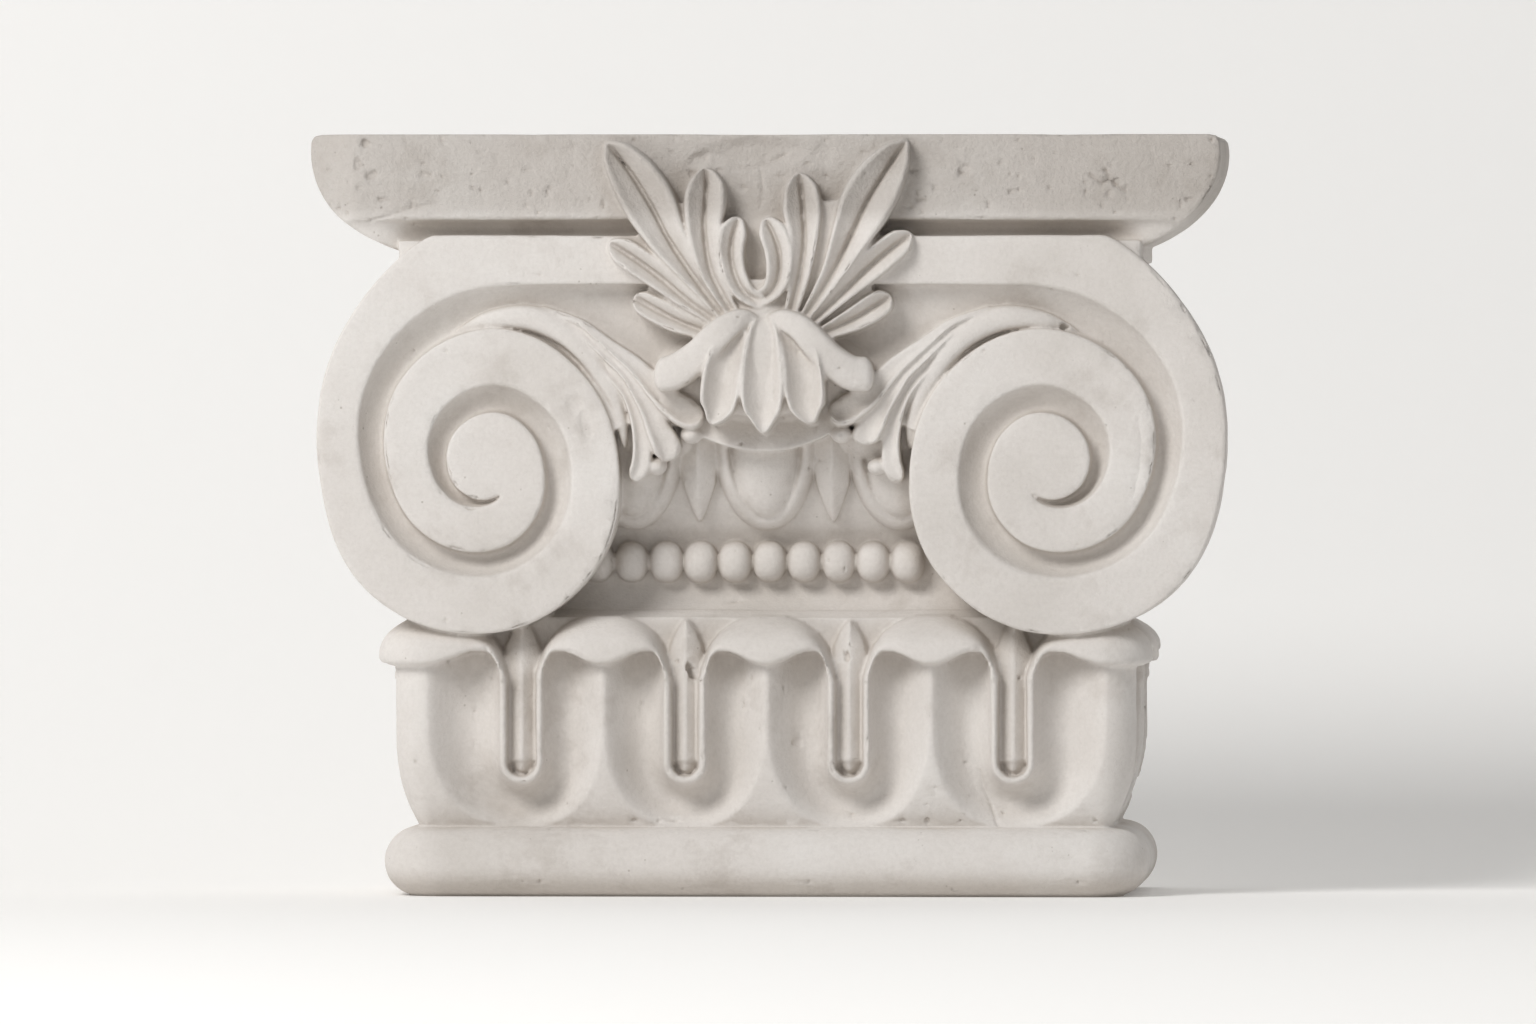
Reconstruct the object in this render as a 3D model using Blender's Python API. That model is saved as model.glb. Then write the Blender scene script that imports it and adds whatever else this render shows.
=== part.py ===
"""Ionic pilaster capital: one carved block with an abacus, volutes, palmette, eggs, beads and leaves.

The block stands on its bed. The front faces -Y, X runs along the front and Z is up.
Sizes are in millimetres, and MM turns them into metres. The letter d is the distance
of a point in front of the flat back.
"""

import math

import bmesh
import bpy
from mathutils import Vector

MM = 0.001
CLEAR = 5.0  # how far a cutter reaches past what it cuts

# Overall sizes
HEIGHT = 381.0
FACE = 180.0  # plane of the volutes
ABACUS_FACE = 178.0
FLOWER_FRONT = 203.0  # the foremost point of the block
BACK_Y = FLOWER_FRONT / 2  # the back plane, with the origin half way through the depth
ABACUS_HALF = 228.0
VOLUTE_RIGHT = 231.4  # the right volute is the wider one and reaches past the abacus
MIDDLE_X = (VOLUTE_RIGHT - ABACUS_HALF) / 2  # the origin is half way along the width too

# Abacus
OVOLO_CENTRE = (150.0, 372.0)
OVOLO_HEIGHT = 54.0
OVOLO_BOTTOM = 320.5
SOFFIT_TOP = 339.3
SOFFIT_DEPTH = 13.4
SOFFIT_DROP = 9.0  # height of the rounded part of the recess where it is deepest
SOFFIT_END = 0.38  # how much of that depth is left at the ends
SOFFIT_FADE = (165.0, 198.0)  # the recess is full up to the first place and fades out by the second
ARRIS = 5.5  # worn off the upper corners
WORN_CORNER = 24.0
WORN_SHAPE = 1.5  # 1 is a quarter round, and higher is closer to a straight bevel
FILLET_LEFT, FILLET_RIGHT = 182.5, 188.8
FILLET_BOTTOM, FILLET_TOP = 317.0, 328.0
FILLET_FACE = 155.0

# Volutes: radii of both edges of the band at each eighth of a turn, from the top, in mm
EYE_X = {-1: -134.5, 1: 138.5}
EYE_Z = 213.5
SPREAD = {-1: 1.01, 1: 1.055}  # how much wider than its pattern each volute is
BAND_TOP = 331.5
BAND_BOTTOM = 306.0
BAND_OUTER = (128, 103.5, 87, 87.5, 81.5, 70.5, 62, 65, 70.5, 64.5, 53, 47, 40, 30.5, 25, 26, 29,
              27.3, 23, 18.5, 14, 9)
BAND_INNER = (92, 80, 65.5, 59.5, 53, 44.5, 38.5, 39.8, 42.5, 39, 31.5, 24.5, 16.5, 9.5)
GROOVE_DEPTH = 9.0
BOLSTER = ((165, 0.985), (140, 0.98), (105, 0.93), (60, 0.86), (0, 0.82))  # d and scale
PLATE_BACK = 146.0
PLATE_TURNS = 0.80  # how far round the plate's outline follows the volute
PLATE_WAIST = (62, 240)  # x and z of the outline between the lip and the volute
BAND_REACH = 24  # how far past the eye the top band is straight
VOLUTE_STEPS = 32

# Channel between the volutes, with its sagging lip
CHANNEL_DEPTH = 14.0
LIP_BOTTOM = 222.5
LIP_HALF = 38.5
LIP_RISE = 12.0
LIP_WIDTH = 8.0

# Egg and dart, beads and neck
EGG_PITCH = 67.0
EGG_HALF = 18.0
EGG_TOP = 229.0
EGG_DROP = 38.5
RIM_HALF = 22.2
RIM_DROP = 42.3
RIM_RADIUS = 3.6
DART_HALF = 8.3
DART_TIP = 187.5
BEAD_PITCH = 17.3
BEAD_COUNT = 10
BEAD_CENTRE = (-85.4, 134.0, 167.0)  # x, d, z of the first bead
BEAD_SIZE = (17.6, 19.0, 20.5)
MOULDING_HALF = 150.0
ECHINUS = ((0, 240), (152, 240), (152, 228), (149, 212), (143, 196), (137, 186), (133, 181),
           (131, 176), (131, 158), (132.7, 152.5), (138.5, 146.3), (146.5, 141.8), (153, 139.5), (153, 120),
           (0, 120))

# Leaf frieze
LEAF_PITCH = 82.0
LEAF_SHIFT = 1.5
CORNER_LEAF = 57.4  # half the width of the leaf that folds round each corner
CORNER_FLUTE = 47.5  # how much of that its flute takes, from the middle of the dart
FRIEZE_HALF = 187.0
FRIEZE_FACE = 172.0
FRIEZE_CORNER = 20.0
FRIEZE_BOTTOM = 30.0
FRIEZE_TOP = 143.0
GAP_HALF = 7.5
GAP_CENTRE = 67.0  # height where the round end of a gap begins
RIM_WIDTH = 3.2
FLUTE_HALF = LEAF_PITCH / 2
FLUTE_DROP = 31.0
FLUTE_DEPTH = 13.0
GAP_DEPTH = 11.5
DART_DEPTH = 4.5  # of its ridge
DART_SLOPE = 5.0  # from its ridge to its edges
HEAD_HALF, HEAD_LOW, HEAD_TIP = 8.8, 124.0, 138.8  # half width of a dart's head, and its heights
NECK_DEPTH = -18.5  # less than the corner radius, so that the corners stay open
NECK_RETURN = 12.0  # how much further back the top row goes, into the moulding above
HOOD_HALF = 34.2
HOOD_BASE = 107.3
HOOD_TOP = 141.0
HOOD_BULGE = 6.0
LIP_LOW = 116.0
LIP_ARCH = 123.0
LIP_ARCH_AT = 23.0

# Base roll
ROLL_HALF = 191.5
ROLL_FACE = 176.0
ROLL_HEIGHT = 34.5
ROLL_CORNER = 30.0
ROLL_FOOT = 13.0
FOOT_DRAW = 14.0  # how far the foot of the leaves draws in towards the roll
FOOT_DRAW_FROM = 88.0

# Plain cores behind the carving: half width, d of the front, bottom and top
CORES = {"core": (165, 128, 100, 327.5), "neck_core": (172, 148, 100, 140), "channel_core": (158, 151, 232, 329.5)}

STONE = (0.78, 0.74, 0.70, 1.0)


def at(x, d, z):
    """A point in metres, from millimetres along X, in front of the back and up."""
    return Vector(((x - MIDDLE_X) * MM, (BACK_Y - d) * MM, z * MM))


def clear_scene():
    for old in list(bpy.data.objects):
        bpy.data.objects.remove(old)


def new_collection(name):
    collection = bpy.data.collections.new(name)
    bpy.context.scene.collection.children.link(collection)
    return collection


def smooth(values, place):
    """The Catmull-Rom curve through evenly spaced values, at a place counted in steps."""
    last = len(values) - 1
    first = min(int(place), last - 1)
    f = place - first
    a, b, c, e = (values[min(max(first + k, 0), last)] for k in (-1, 0, 1, 2))
    return b + 0.5 * f * (c - a + f * (2 * a - 5 * b + 4 * c - e + f * (3 * b - a - 3 * c + e)))


def smooth_path(points, count):
    """Evenly stepped points along the smooth curve through some control points of any dimension."""
    columns = list(zip(*points))
    steps = [i * (len(points) - 1) / (count - 1) for i in range(count)]
    return [tuple(smooth(column, step) for column in columns) for step in steps]


def blend(a, b, f):
    return a + (b - a) * f


def clamp(value, low=0.0, high=1.0):
    return max(low, min(high, value))


def add_mesh(name, bm, collection, helper=True):
    """An object made from a closed bmesh, with its faces turned outwards."""
    bmesh.ops.triangulate(bm, faces=[f for f in bm.faces if len(f.verts) > 3])
    bmesh.ops.recalc_face_normals(bm, faces=bm.faces)
    if bm.calc_volume(signed=True) < 0:
        bmesh.ops.reverse_faces(bm, faces=bm.faces)
    mesh = bpy.data.meshes.new(name)
    bm.to_mesh(mesh)
    bm.free()
    obj = bpy.data.objects.new(name, mesh)
    collection.objects.link(obj)
    if helper:
        obj.hide_render = True
        obj.display_type = "WIRE"
    return obj


def loft(name, rings, collection, helper=True):
    """A closed solid through rings of equally many points, each (x, d, z) in mm."""
    bm = bmesh.new()
    rows = [[bm.verts.new(at(*p)) for p in ring] for ring in rings]
    count = len(rows[0])
    for low, high in zip(rows, rows[1:]):
        for i in range(count):
            j = (i + 1) % count
            bm.faces.new((low[i], low[j], high[j], high[i]))
    bm.faces.new(reversed(rows[0]))
    bm.faces.new(rows[-1])
    return add_mesh(name, bm, collection, helper)


def prism_x(name, section, x0, x1, collection, helper=True):
    """A section of (d, z) points run along X."""
    rings = [[(x, d, z) for d, z in section] for x in (x0, x1)]
    return loft(name, rings, collection, helper)


def prism_d(name, outline, d0, d1, collection, helper=True):
    """An outline of (x, z) points run from d0 to d1."""
    rings = [[(x, d, z) for x, z in outline] for d in (d0, d1)]
    return loft(name, rings, collection, helper)


def box(name, low, high, collection):
    """A box between two (x, d, z) corners."""
    bm = bmesh.new()
    bmesh.ops.create_cube(bm, size=1.0)
    a, b = at(*low), at(*high)
    for vert in bm.verts:
        vert.co = Vector(blend(a[k], b[k], vert.co[k] + 0.5) for k in range(3))
    return add_mesh(name, bm, collection)


def ball(name, centre, size, collection, segments=8, rings=6):
    """An ellipsoid at an (x, d, z) centre, with its full sizes in X, d and Z."""
    bm = bmesh.new()
    bmesh.ops.create_uvsphere(bm, u_segments=segments, v_segments=rings, radius=0.5)
    middle = at(*centre)
    for vert in bm.verts:
        vert.co = Vector(middle[k] + vert.co[k] * size[k] * MM for k in range(3))
    return add_mesh(name, bm, collection)


def boolean(target, operation, operand, solver="EXACT"):
    """A Boolean with one object, or with every object of a collection."""
    modifier = target.modifiers.new(operation.title(), "BOOLEAN")
    modifier.operation = operation
    modifier.solver = solver
    if isinstance(operand, bpy.types.Collection):
        modifier.operand_type = "COLLECTION"
        modifier.collection = operand
    else:
        modifier.object = operand


# Abacus


def abacus_outline():
    """The front outline, with an elliptical ovolo at each end."""
    cx, cz = OVOLO_CENTRE
    start = math.asin((cz - HEIGHT + ARRIS / 2) / OVOLO_HEIGHT)
    end = math.asin((cz - OVOLO_BOTTOM) / OVOLO_HEIGHT)
    arc = []
    for i in range(8):
        angle = blend(start, end, i / 7)
        arc.append((cx + (ABACUS_HALF - cx) * math.cos(angle), cz - OVOLO_HEIGHT * math.sin(angle)))
    arc.insert(0, (arc[0][0] - ARRIS, HEIGHT))
    return [(-x, z) for x, z in arc] + list(reversed(arc))


def soffit_ring(x, share):
    """The soffit's cutter at x: a worn arris over a recess, with a share of its full depth."""
    profile = ((0, 0), (0.3, 0.05), (0.8, 0.45), (1, 1))
    drop = blend(SOFFIT_TOP - OVOLO_BOTTOM, SOFFIT_DROP, (share - SOFFIT_END) / (1 - SOFFIT_END))
    floor = [(x, ABACUS_FACE - SOFFIT_DEPTH * share * a, SOFFIT_TOP - drop * b) for a, b in profile]
    below = FILLET_BOTTOM - CLEAR
    return [(x, ABACUS_FACE + CLEAR, SOFFIT_TOP)] + floor + [
        (x, ABACUS_FACE - SOFFIT_DEPTH * share, below), (x, ABACUS_FACE + CLEAR, below)]


def make_abacus(pieces, cutters):
    abacus = prism_d("abacus_blank", abacus_outline(), 0, ABACUS_FACE, pieces)
    reach = ABACUS_HALF + CLEAR
    full, faded = SOFFIT_FADE
    places = ((-reach, SOFFIT_END), (-faded, SOFFIT_END), (-full, 1.0),
              (full, 1.0), (faded, SOFFIT_END), (reach, SOFFIT_END))
    rings = [soffit_ring(x, share) for x, share in places]
    boolean(abacus, "DIFFERENCE", loft("soffit_cutter", rings, cutters))
    boolean(abacus, "DIFFERENCE", worn_corner_cutter(cutters))
    box("fillet", (-FILLET_LEFT, 0, FILLET_BOTTOM), (FILLET_RIGHT, FILLET_FACE, FILLET_TOP), pieces)
    return abacus


def worn_corner_cutter(cutters):
    """What the worn left corner has lost: a square corner less a rounded bevel."""
    r = WORN_CORNER
    plan = [(-ABACUS_HALF - CLEAR, ABACUS_FACE + CLEAR), (-ABACUS_HALF - CLEAR, ABACUS_FACE - r - 2)]
    for i in range(5):
        angle = math.radians(90 * i / 4)
        across, ahead = abs(math.cos(angle)) ** WORN_SHAPE, math.sin(angle) ** WORN_SHAPE
        plan.append((-ABACUS_HALF + r - r * across, ABACUS_FACE - r + r * ahead))
    plan.append((-ABACUS_HALF + r + 2, ABACUS_FACE + CLEAR))
    rings = [[(x, d, z) for x, d in plan] for z in (OVOLO_BOTTOM - CLEAR, HEIGHT + CLEAR)]
    return loft("worn_corner_cutter", rings, cutters)


# Volutes and the channel between them


def polar(side, turns, radius):
    """A point of a volute: turns from the top, outwards first, on the side -1 or 1."""
    angle = 2 * math.pi * turns
    x = EYE_X[side] + side * SPREAD[side] * radius * math.sin(angle)
    return x, min(EYE_Z + radius * math.cos(angle), BAND_TOP)


def outer_radius(turns):
    return smooth(BAND_OUTER, 8 * turns)


def inner_radius(turns):
    return smooth(BAND_INNER, 8 * turns)


def make_bolster(side, pieces):
    """The half bolster behind a volute, narrowing towards the wall."""
    steps = 18
    edge = []
    for i in range(steps + 1):
        turns = blend(0.03, 0.97, i / steps)
        edge.append(polar(side, turns, outer_radius(turns)))
    ex, ez = EYE_X[side], EYE_Z
    rings = [[(ex + (x - ex) * s, d, ez + (z - ez) * s) for x, z in edge] for d, s in BOLSTER]
    return loft(f"bolster_{'left' if side < 0 else 'right'}", rings, pieces)


def lip_height(x):
    return LIP_BOTTOM + LIP_RISE * (x / LIP_HALF) ** 2


def front_plate(collection):
    """The plate of both volutes, the top band and the channel, down to its sagging lip."""
    halves = {}
    for side in (-1, 1):
        half = [(side * LIP_HALF * i / 4, lip_height(LIP_HALF * i / 4)) for i in range(1, 5)]
        half.append((side * PLATE_WAIST[0], PLATE_WAIST[1]))
        for i in range(VOLUTE_STEPS + 1):
            turns = blend(PLATE_TURNS, 0.06, i / VOLUTE_STEPS)
            half.append(polar(side, turns, outer_radius(turns)))
        half.append((EYE_X[side] + side * BAND_REACH, BAND_TOP))
        halves[side] = half
    outline = list(reversed(halves[-1])) + [(0, lip_height(0))] + halves[1]
    return prism_d("capital", outline, PLATE_BACK, FACE, collection, helper=False)


GROOVE_SECTION = ((0, 0.4), (0.15, 0.9), (0.45, 1.0), (0.78, 0.8), (1, 0.3))
CHANNEL_SECTION = ((0, 0.7), (0.12, 1.0), (0.4, 1.0), (0.72, 0.7), (1, 0.15))


def groove_ring(outer, inner, sections, lift=4.0):
    """One ring of the cutter between two (x, z) points, its floor given as (share, depth in mm)."""
    floor = [(blend(outer[0], inner[0], u), FACE - depth, blend(outer[1], inner[1], u))
             for u, depth in sections]
    return floor + [(inner[0], FACE + lift, inner[1]), (outer[0], FACE + lift, outer[1])]


def groove_cutter(side, cutters):
    """The channel from the middle of the front, narrowing into the groove of the spiral."""
    rings = []
    top, stops = BAND_BOTTOM, 7
    for i in range(stops):
        share = i / stops  # 0 at the middle, 1 where the spiral begins
        x_top = blend(-2, side * EYE_X[side], share ** 0.9)
        if share < 0.5:
            x_low = blend(-2, PLATE_WAIST[0], share / 0.5)
            inner = (side * x_low, lip_height(min(x_low, LIP_HALF)) - LIP_WIDTH)
        else:
            turns = blend(PLATE_TURNS, 1.0, (share - 0.5) / 0.5)
            inner = polar(side, turns, outer_radius(turns))
        weight = clamp((1 - share) * 1.6)
        section = [(blend(g[0], c[0], weight), blend(GROOVE_DEPTH * 1.2 * g[1], CHANNEL_DEPTH * c[1], weight))
                   for g, c in zip(GROOVE_SECTION, CHANNEL_SECTION)]
        rings.append(groove_ring((side * x_top, top), inner, section))
    last = (len(BAND_INNER) - 1) / 8
    count = 25
    for i in range(count):
        turns = last * i / (count - 1)
        left = 1 - turns / last
        depth = GROOVE_DEPTH * blend(1.2, 1.0, clamp(turns * 4)) * clamp(left * 5, 0.08)
        outer = polar(side, turns, inner_radius(turns) + (0.4 if left == 0 else 0))
        inner = polar(side, turns, outer_radius(turns + 1))
        rings.append(groove_ring(outer, inner, [(u, depth * h) for u, h in GROOVE_SECTION]))
    return loft(f"groove_{'left' if side < 0 else 'right'}", rings, cutters)


# Leaves, petals and lobes

HOLLOW = ((-1, -0.9), (-0.74, 0), (0, -0.75), (0.74, 0), (1, -0.9))
SPOON = ((-1, -0.8), (-0.8, 0), (-0.35, -0.75), (0.35, -0.75), (0.8, 0), (1, -0.8))
ROUND = ((-1, -1.0), (-0.65, -0.25), (0, 0.0), (0.65, -0.25), (1, -1.0))


def lobe(name, spine, section, relief, bottom, collection, stations=7):
    """A leaf or petal along a spine of (x, z, half width, d of its crest).

    The section is (share of the half width, share of the relief), seen from in front,
    and the solid goes back to the plane d = bottom.
    """
    path = smooth_path(spine, stations)
    rings = []
    for i, (x, z, half, crest) in enumerate(path):
        before, after = path[max(i - 1, 0)], path[min(i + 1, stations - 1)]
        run, rise = after[0] - before[0], after[1] - before[1]
        length = math.hypot(run, rise)
        ax, az = rise / length, -run / length
        depth = relief * clamp(half / 6.0, 0.15)
        top = [(x + ax * half * u, crest + depth * h, z + az * half * u) for u, h in section]
        first, final = top[0], top[-1]
        rings.append(top + [(final[0], bottom, final[2]), (first[0], bottom, first[2])])
    return loft(name, rings, collection)


PALMETTE_SHIFT = 2.6  # the carver set the palmette a little to the right of the eggs
LOBE_SHIFT = 1.5

PALMETTE = {
    "left_1": ((-24, 280, 3.0, 186), (-43, 287, 5.8, 184), (-57, 294, 6.5, 183), (-66.5, 299, 2.5, 181)),
    "left_2": ((-23, 286, 2.5, 187), (-40, 298, 4.5, 187), (-55, 310.5, 7, 187), (-69, 320.5, 7, 187),
               (-78.5, 326.5, 2.5, 185)),
    "left_3": ((-20, 288, 2.5, 188), (-36, 309, 5.5, 190), (-49, 328, 10, 191), (-58, 345, 13.5, 191),
               (-67, 359.5, 12, 190), (-74.5, 370.5, 7, 189), (-80, 376, 1.5, 188)),
    "left_4": ((-15, 289, 3, 189), (-23, 302, 4.5, 191), (-29, 316, 6.5, 192), (-31.5, 334, 9, 192),
               (-31, 347, 10.8, 192), (-30.5, 356, 8, 191), (-31, 363, 2, 190)),
    "left_5": ((-3, 297, 4, 190), (-11, 302, 5, 192), (-16, 311, 6, 193), (-18, 321, 6.7, 193),
               (-17, 330.5, 6.8, 193), (-14, 337.5, 3, 192)),
    "right_5": ((-5, 298, 4, 190), (2.5, 303, 5, 192), (6, 311.5, 6.5, 193), (6, 322, 7.2, 193),
                (3, 331, 6.5, 193), (-0.5, 337.5, 3, 192)),
    "right_4": ((11, 289, 3, 189), (16, 309, 5.2, 191), (18.5, 327, 7, 192), (17.8, 342, 10, 192),
                (17, 352.5, 8, 191), (15.8, 360.5, 2, 190)),
    "right_3": ((17, 287, 2.5, 188), (31, 309, 5.5, 190), (41, 329, 10, 191), (49, 346, 13.5, 191),
                (57, 359.5, 12, 190), (64, 370, 7, 189), (69.5, 377, 1.5, 188)),
    "right_2": ((20, 285, 2.5, 187), (37.5, 302, 5, 187), (50.5, 314.5, 7.5, 187), (62.5, 324.5, 7, 187),
                (71, 330.5, 2.5, 185)),
    "right_1": ((24, 280, 3, 186), (40.5, 287.5, 6, 184), (52.5, 294.5, 7, 183), (60.5, 299.5, 3, 181)),
}

FLOWER = {
    "petal_left": ((-17.5, 287, 5, 191), (-20, 272, 9, 199), (-23, 258, 10.3, 202), (-25.5, 247, 8.5, 201),
                   (-27.5, 237.5, 1.2, 198)),
    "petal_right": ((8, 288, 5, 190.5), (13, 272, 9, 199), (17, 258, 10, 202), (20, 247, 8.5, 201),
                    (22, 237, 1.2, 198)),
    "petal_middle": ((-4, 285, 5.5, 192), (-3, 270, 9.5, 200), (-2.6, 255, 10.8, 203), (-2.5, 243.5, 8.5, 202),
                     (-2.5, 232.5, 1.2, 199)),
}

SHOULDERS = {
    "shoulder_left": ((-12, 290, 6, 194), (-24, 284, 9, 198), (-35, 275, 9.5, 196), (-46, 267, 8.5, 193),
                      (-55, 263.5, 5, 191)),
    "shoulder_right": ((5, 290, 6, 194), (18, 285, 9, 198), (31, 276, 9.5, 196), (42, 267.5, 8.5, 193),
                       (51, 264, 5, 191)),
}

HALF_PALMETTE = {
    "lobe_a": ((160, 279, 1.5, 176), (140, 289, 4, 178), (116, 290, 6, 179), (96, 281, 7, 180),
               (77.5, 266.5, 7.5, 180), (63.5, 251.5, 8, 181), (49.5, 243, 7.5, 182), (38, 239, 3.5, 180)),
    "lobe_b": ((104, 280, 2, 174), (86, 267, 4.5, 175), (71, 248.5, 6.5, 177), (60, 231, 7.5, 179),
               (53, 221, 4, 177)),
    "lobe_c": ((92, 271, 2, 171), (77.5, 252.5, 4, 173), (70, 233.5, 5.5, 175), (67.5, 219, 5.5, 175),
               (69, 208.5, 2.5, 172)),
}
LOBE_TIPS = {"tip_a": (37.5, 174, 231.5, 9), "tip_d": (56, 168, 214.5, 8.5)}  # x, d, z and size


def moved(spine, shift, side=1):
    """A spine moved along X, and mirrored first where side is -1."""
    return [(side * x + shift, z, half, crest) for x, z, half, crest in spine]


# Corners of the web between the leaves, where two of them part or meet again
WEB = ((-24, 283), (-60, 304), (-56, 323), (-41, 343), (-24, 333), (-7, 306), (6, 335), (26, 343), (48, 325),
       (42, 300), (20, 283))
WEB_BACK, WEB_FRONT = 155.5, 184.5


def make_palmette(pieces):
    for name, spine in PALMETTE.items():
        lobe(f"leaf_{name}", moved(spine, PALMETTE_SHIFT), HOLLOW, 5.0, 158, pieces, stations=6)
    prism_d("web", [(x + PALMETTE_SHIFT, z) for x, z in WEB], WEB_BACK, WEB_FRONT, pieces)


def make_flower(pieces):
    for name, spine in SHOULDERS.items():
        lobe(name, moved(spine, PALMETTE_SHIFT), ROUND, 6.0, 158, pieces, stations=6)
    for name, spine in FLOWER.items():
        lobe(name, moved(spine, PALMETTE_SHIFT), SPOON, 6.0, 158, pieces, stations=7)


def make_half_palmettes(pieces):
    for side, where in ((-1, "left"), (1, "right")):
        for name, spine in HALF_PALMETTE.items():
            spine = moved(spine, LOBE_SHIFT, side)
            lobe(f"{name}_{where}", spine, ROUND, 6.0, 146, pieces)
        for name, (x, d, z, size) in LOBE_TIPS.items():
            centre = (side * x + LOBE_SHIFT, d - 4, z)
            ball(f"{name}_{where}", centre, (size, size + 8, size), pieces)


# Egg and dart, beads and neck


def moulding_depth(z):
    """How far the egg moulding stands in front of the back at a height."""
    above = [p for p in ECHINUS[2:8]]
    for (d1, z1), (d0, z0) in zip(above, above[1:]):
        if z0 <= z <= z1:
            return blend(d0, d1, (z - z0) / (z1 - z0))
    return above[0][0] if z > above[0][1] else above[-1][0]


def make_egg(x, name, pieces):
    ball(f"egg_{name}", (x, 146, EGG_TOP), (2 * EGG_HALF, 34, 2 * EGG_DROP), pieces, 9, 7)
    rings = []
    sides = 6
    for i in range(14):
        angle = math.pi * (i / 13)
        px, pz = RIM_HALF * math.cos(angle), -RIM_DROP * math.sin(angle)
        nx, nz = math.cos(angle) / RIM_HALF, -math.sin(angle) / RIM_DROP
        length = math.hypot(nx, nz)
        depth = moulding_depth(EGG_TOP + pz)
        ring = []
        for k in range(sides):
            turn = 2 * math.pi * k / sides
            out, fore = RIM_RADIUS * math.cos(turn), 4.5 * math.sin(turn)
            ring.append((x + px + out * nx / length, depth + 1.0 + fore, EGG_TOP + pz + out * nz / length))
        rings.append(ring)
    loft(f"rim_{name}", rings, pieces)


def make_dart(x, name, pieces):
    """A lance: straight sides, a point at the bottom and a ridge down the middle."""
    rings = []
    for z, half in ((236, DART_HALF), (207, DART_HALF), (196, 5.6), (DART_TIP, 0.6)):
        d = moulding_depth(z)
        rings.append([(x - half, d - 6, z), (x + half, d - 6, z), (x + half, d + 0.6, z),
                      (x, d + 2 + 0.45 * half, z), (x - half, d + 0.6, z)])
    loft(f"dart_{name}", rings, pieces)


def make_mouldings(pieces):
    prism_x("echinus", ECHINUS, -MOULDING_HALF, MOULDING_HALF, pieces)
    for i, name in ((-1, "left"), (0, "middle"), (1, "right")):
        make_egg(i * EGG_PITCH, name, pieces)
    for i, name in ((-0.5, "left"), (0.5, "right")):
        make_dart(i * EGG_PITCH, name, pieces)
    x, d, z = BEAD_CENTRE
    for i in range(BEAD_COUNT):
        ball(f"bead_{i}", (x + i * BEAD_PITCH, d, z), BEAD_SIZE, pieces, 8, 5)


# Leaf frieze


def on_plan(s, half, front, radius):
    """Position and outward direction at the distance s along the plan line from the middle."""
    side = -1 if s < 0 else 1
    s = abs(s)
    straight = half - radius
    quarter = math.pi * radius / 2
    if s <= straight:
        return side * s, front, 0.0, 1.0
    if s <= straight + quarter:
        angle = (s - straight) / radius
        nx, nd = math.sin(angle), math.cos(angle)
        return side * (straight + radius * nx), front - radius + radius * nd, side * nx, nd
    return side * half, front - radius - (s - straight - quarter), side * 1.0, 0.0


def hood_top(q):
    share = clamp(q / HOOD_HALF, 0, 0.999)
    return HOOD_BASE + (HOOD_TOP - HOOD_BASE) * math.sqrt(1 - share ** 2.2)


def lip_line(q):
    """The lower edge of a hood at q from the leaf's midrib: a dip, two arches, then the rims."""
    if q < LIP_ARCH_AT:
        return blend(LIP_LOW, LIP_ARCH, 0.5 - 0.5 * math.cos(math.pi * q / LIP_ARCH_AT))
    share = clamp((q - LIP_ARCH_AT) / (FLUTE_HALF - GAP_HALF - RIM_WIDTH - LIP_ARCH_AT))
    return LIP_ARCH - 16 * (1 - math.sqrt(1 - share ** 2))


def behind(p, z):
    """Relief of the dart and the gap at p from the dart's middle."""
    half = blend(GAP_HALF, HEAD_HALF, clamp((z - 103) / 18))
    if z > HEAD_LOW:
        half = HEAD_HALF * clamp((HEAD_TIP - z) / (HEAD_TIP - HEAD_LOW)) ** 0.62
    floor = blend(-GAP_DEPTH, NECK_DEPTH, clamp((z - 112) / 16))
    if p >= half:
        return floor
    ridge = -DART_DEPTH - 6 * clamp((z - 116) / 24)
    return max(floor, ridge - DART_SLOPE * p / half)


def leaf_relief(p, z):
    """Relief below the hoods, p from the middle of a dart."""
    below = max(GAP_CENTRE - z, 0.0)
    reach = math.hypot(p, below)
    if reach < GAP_HALF:
        return behind(p, z) if below == 0 else blend(-GAP_DEPTH, behind(p, z), clamp(1 - reach / GAP_HALF))
    crest = GAP_HALF + RIM_WIDTH
    if reach <= crest:
        return 0.0
    span = math.hypot(p / FLUTE_HALF, below / FLUTE_DROP)
    if span >= 1:
        return 0.0
    edge = crest * span / reach
    share = (span - edge) / (1 - edge)
    return -FLUTE_DEPTH * math.sin(math.pi * share) ** 0.75


def envelope(z):
    """How far the foot of the frieze draws in."""
    return -FOOT_DRAW * clamp((FOOT_DRAW_FROM - z) / (FOOT_DRAW_FROM - ROLL_HEIGHT)) ** 2.2


LOW_ROWS = (FRIEZE_BOTTOM, 37, 42, 48, 54, 58.5, 60.5, 67)
COLUMNS = (7.0, 8.2, 10.8, 15, 23, 32)
SIDE_COLUMNS = (7.0, 10, 22)
FIRST_DARTS = (LEAF_PITCH / 2, 1.5 * LEAF_PITCH)
SIDE_DARTS = (FIRST_DARTS[1] + 2 * CORNER_LEAF, FIRST_DARTS[1] + 2 * CORNER_LEAF + LEAF_PITCH)
CREST = GAP_HALF + RIM_WIDTH  # from the middle of a dart to the edge of the flute


def stretched(p, half):
    """A distance from a dart's middle on a plain leaf, carried over to a leaf of another half width."""
    return p if p <= CREST else CREST + (p - CREST) * (half - CREST) / (FLUTE_HALF - CREST)


def shrunk(p, half):
    """The reverse of stretched."""
    return p if p <= CREST else CREST + (p - CREST) * (FLUTE_HALF - CREST) / (half - CREST)


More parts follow.
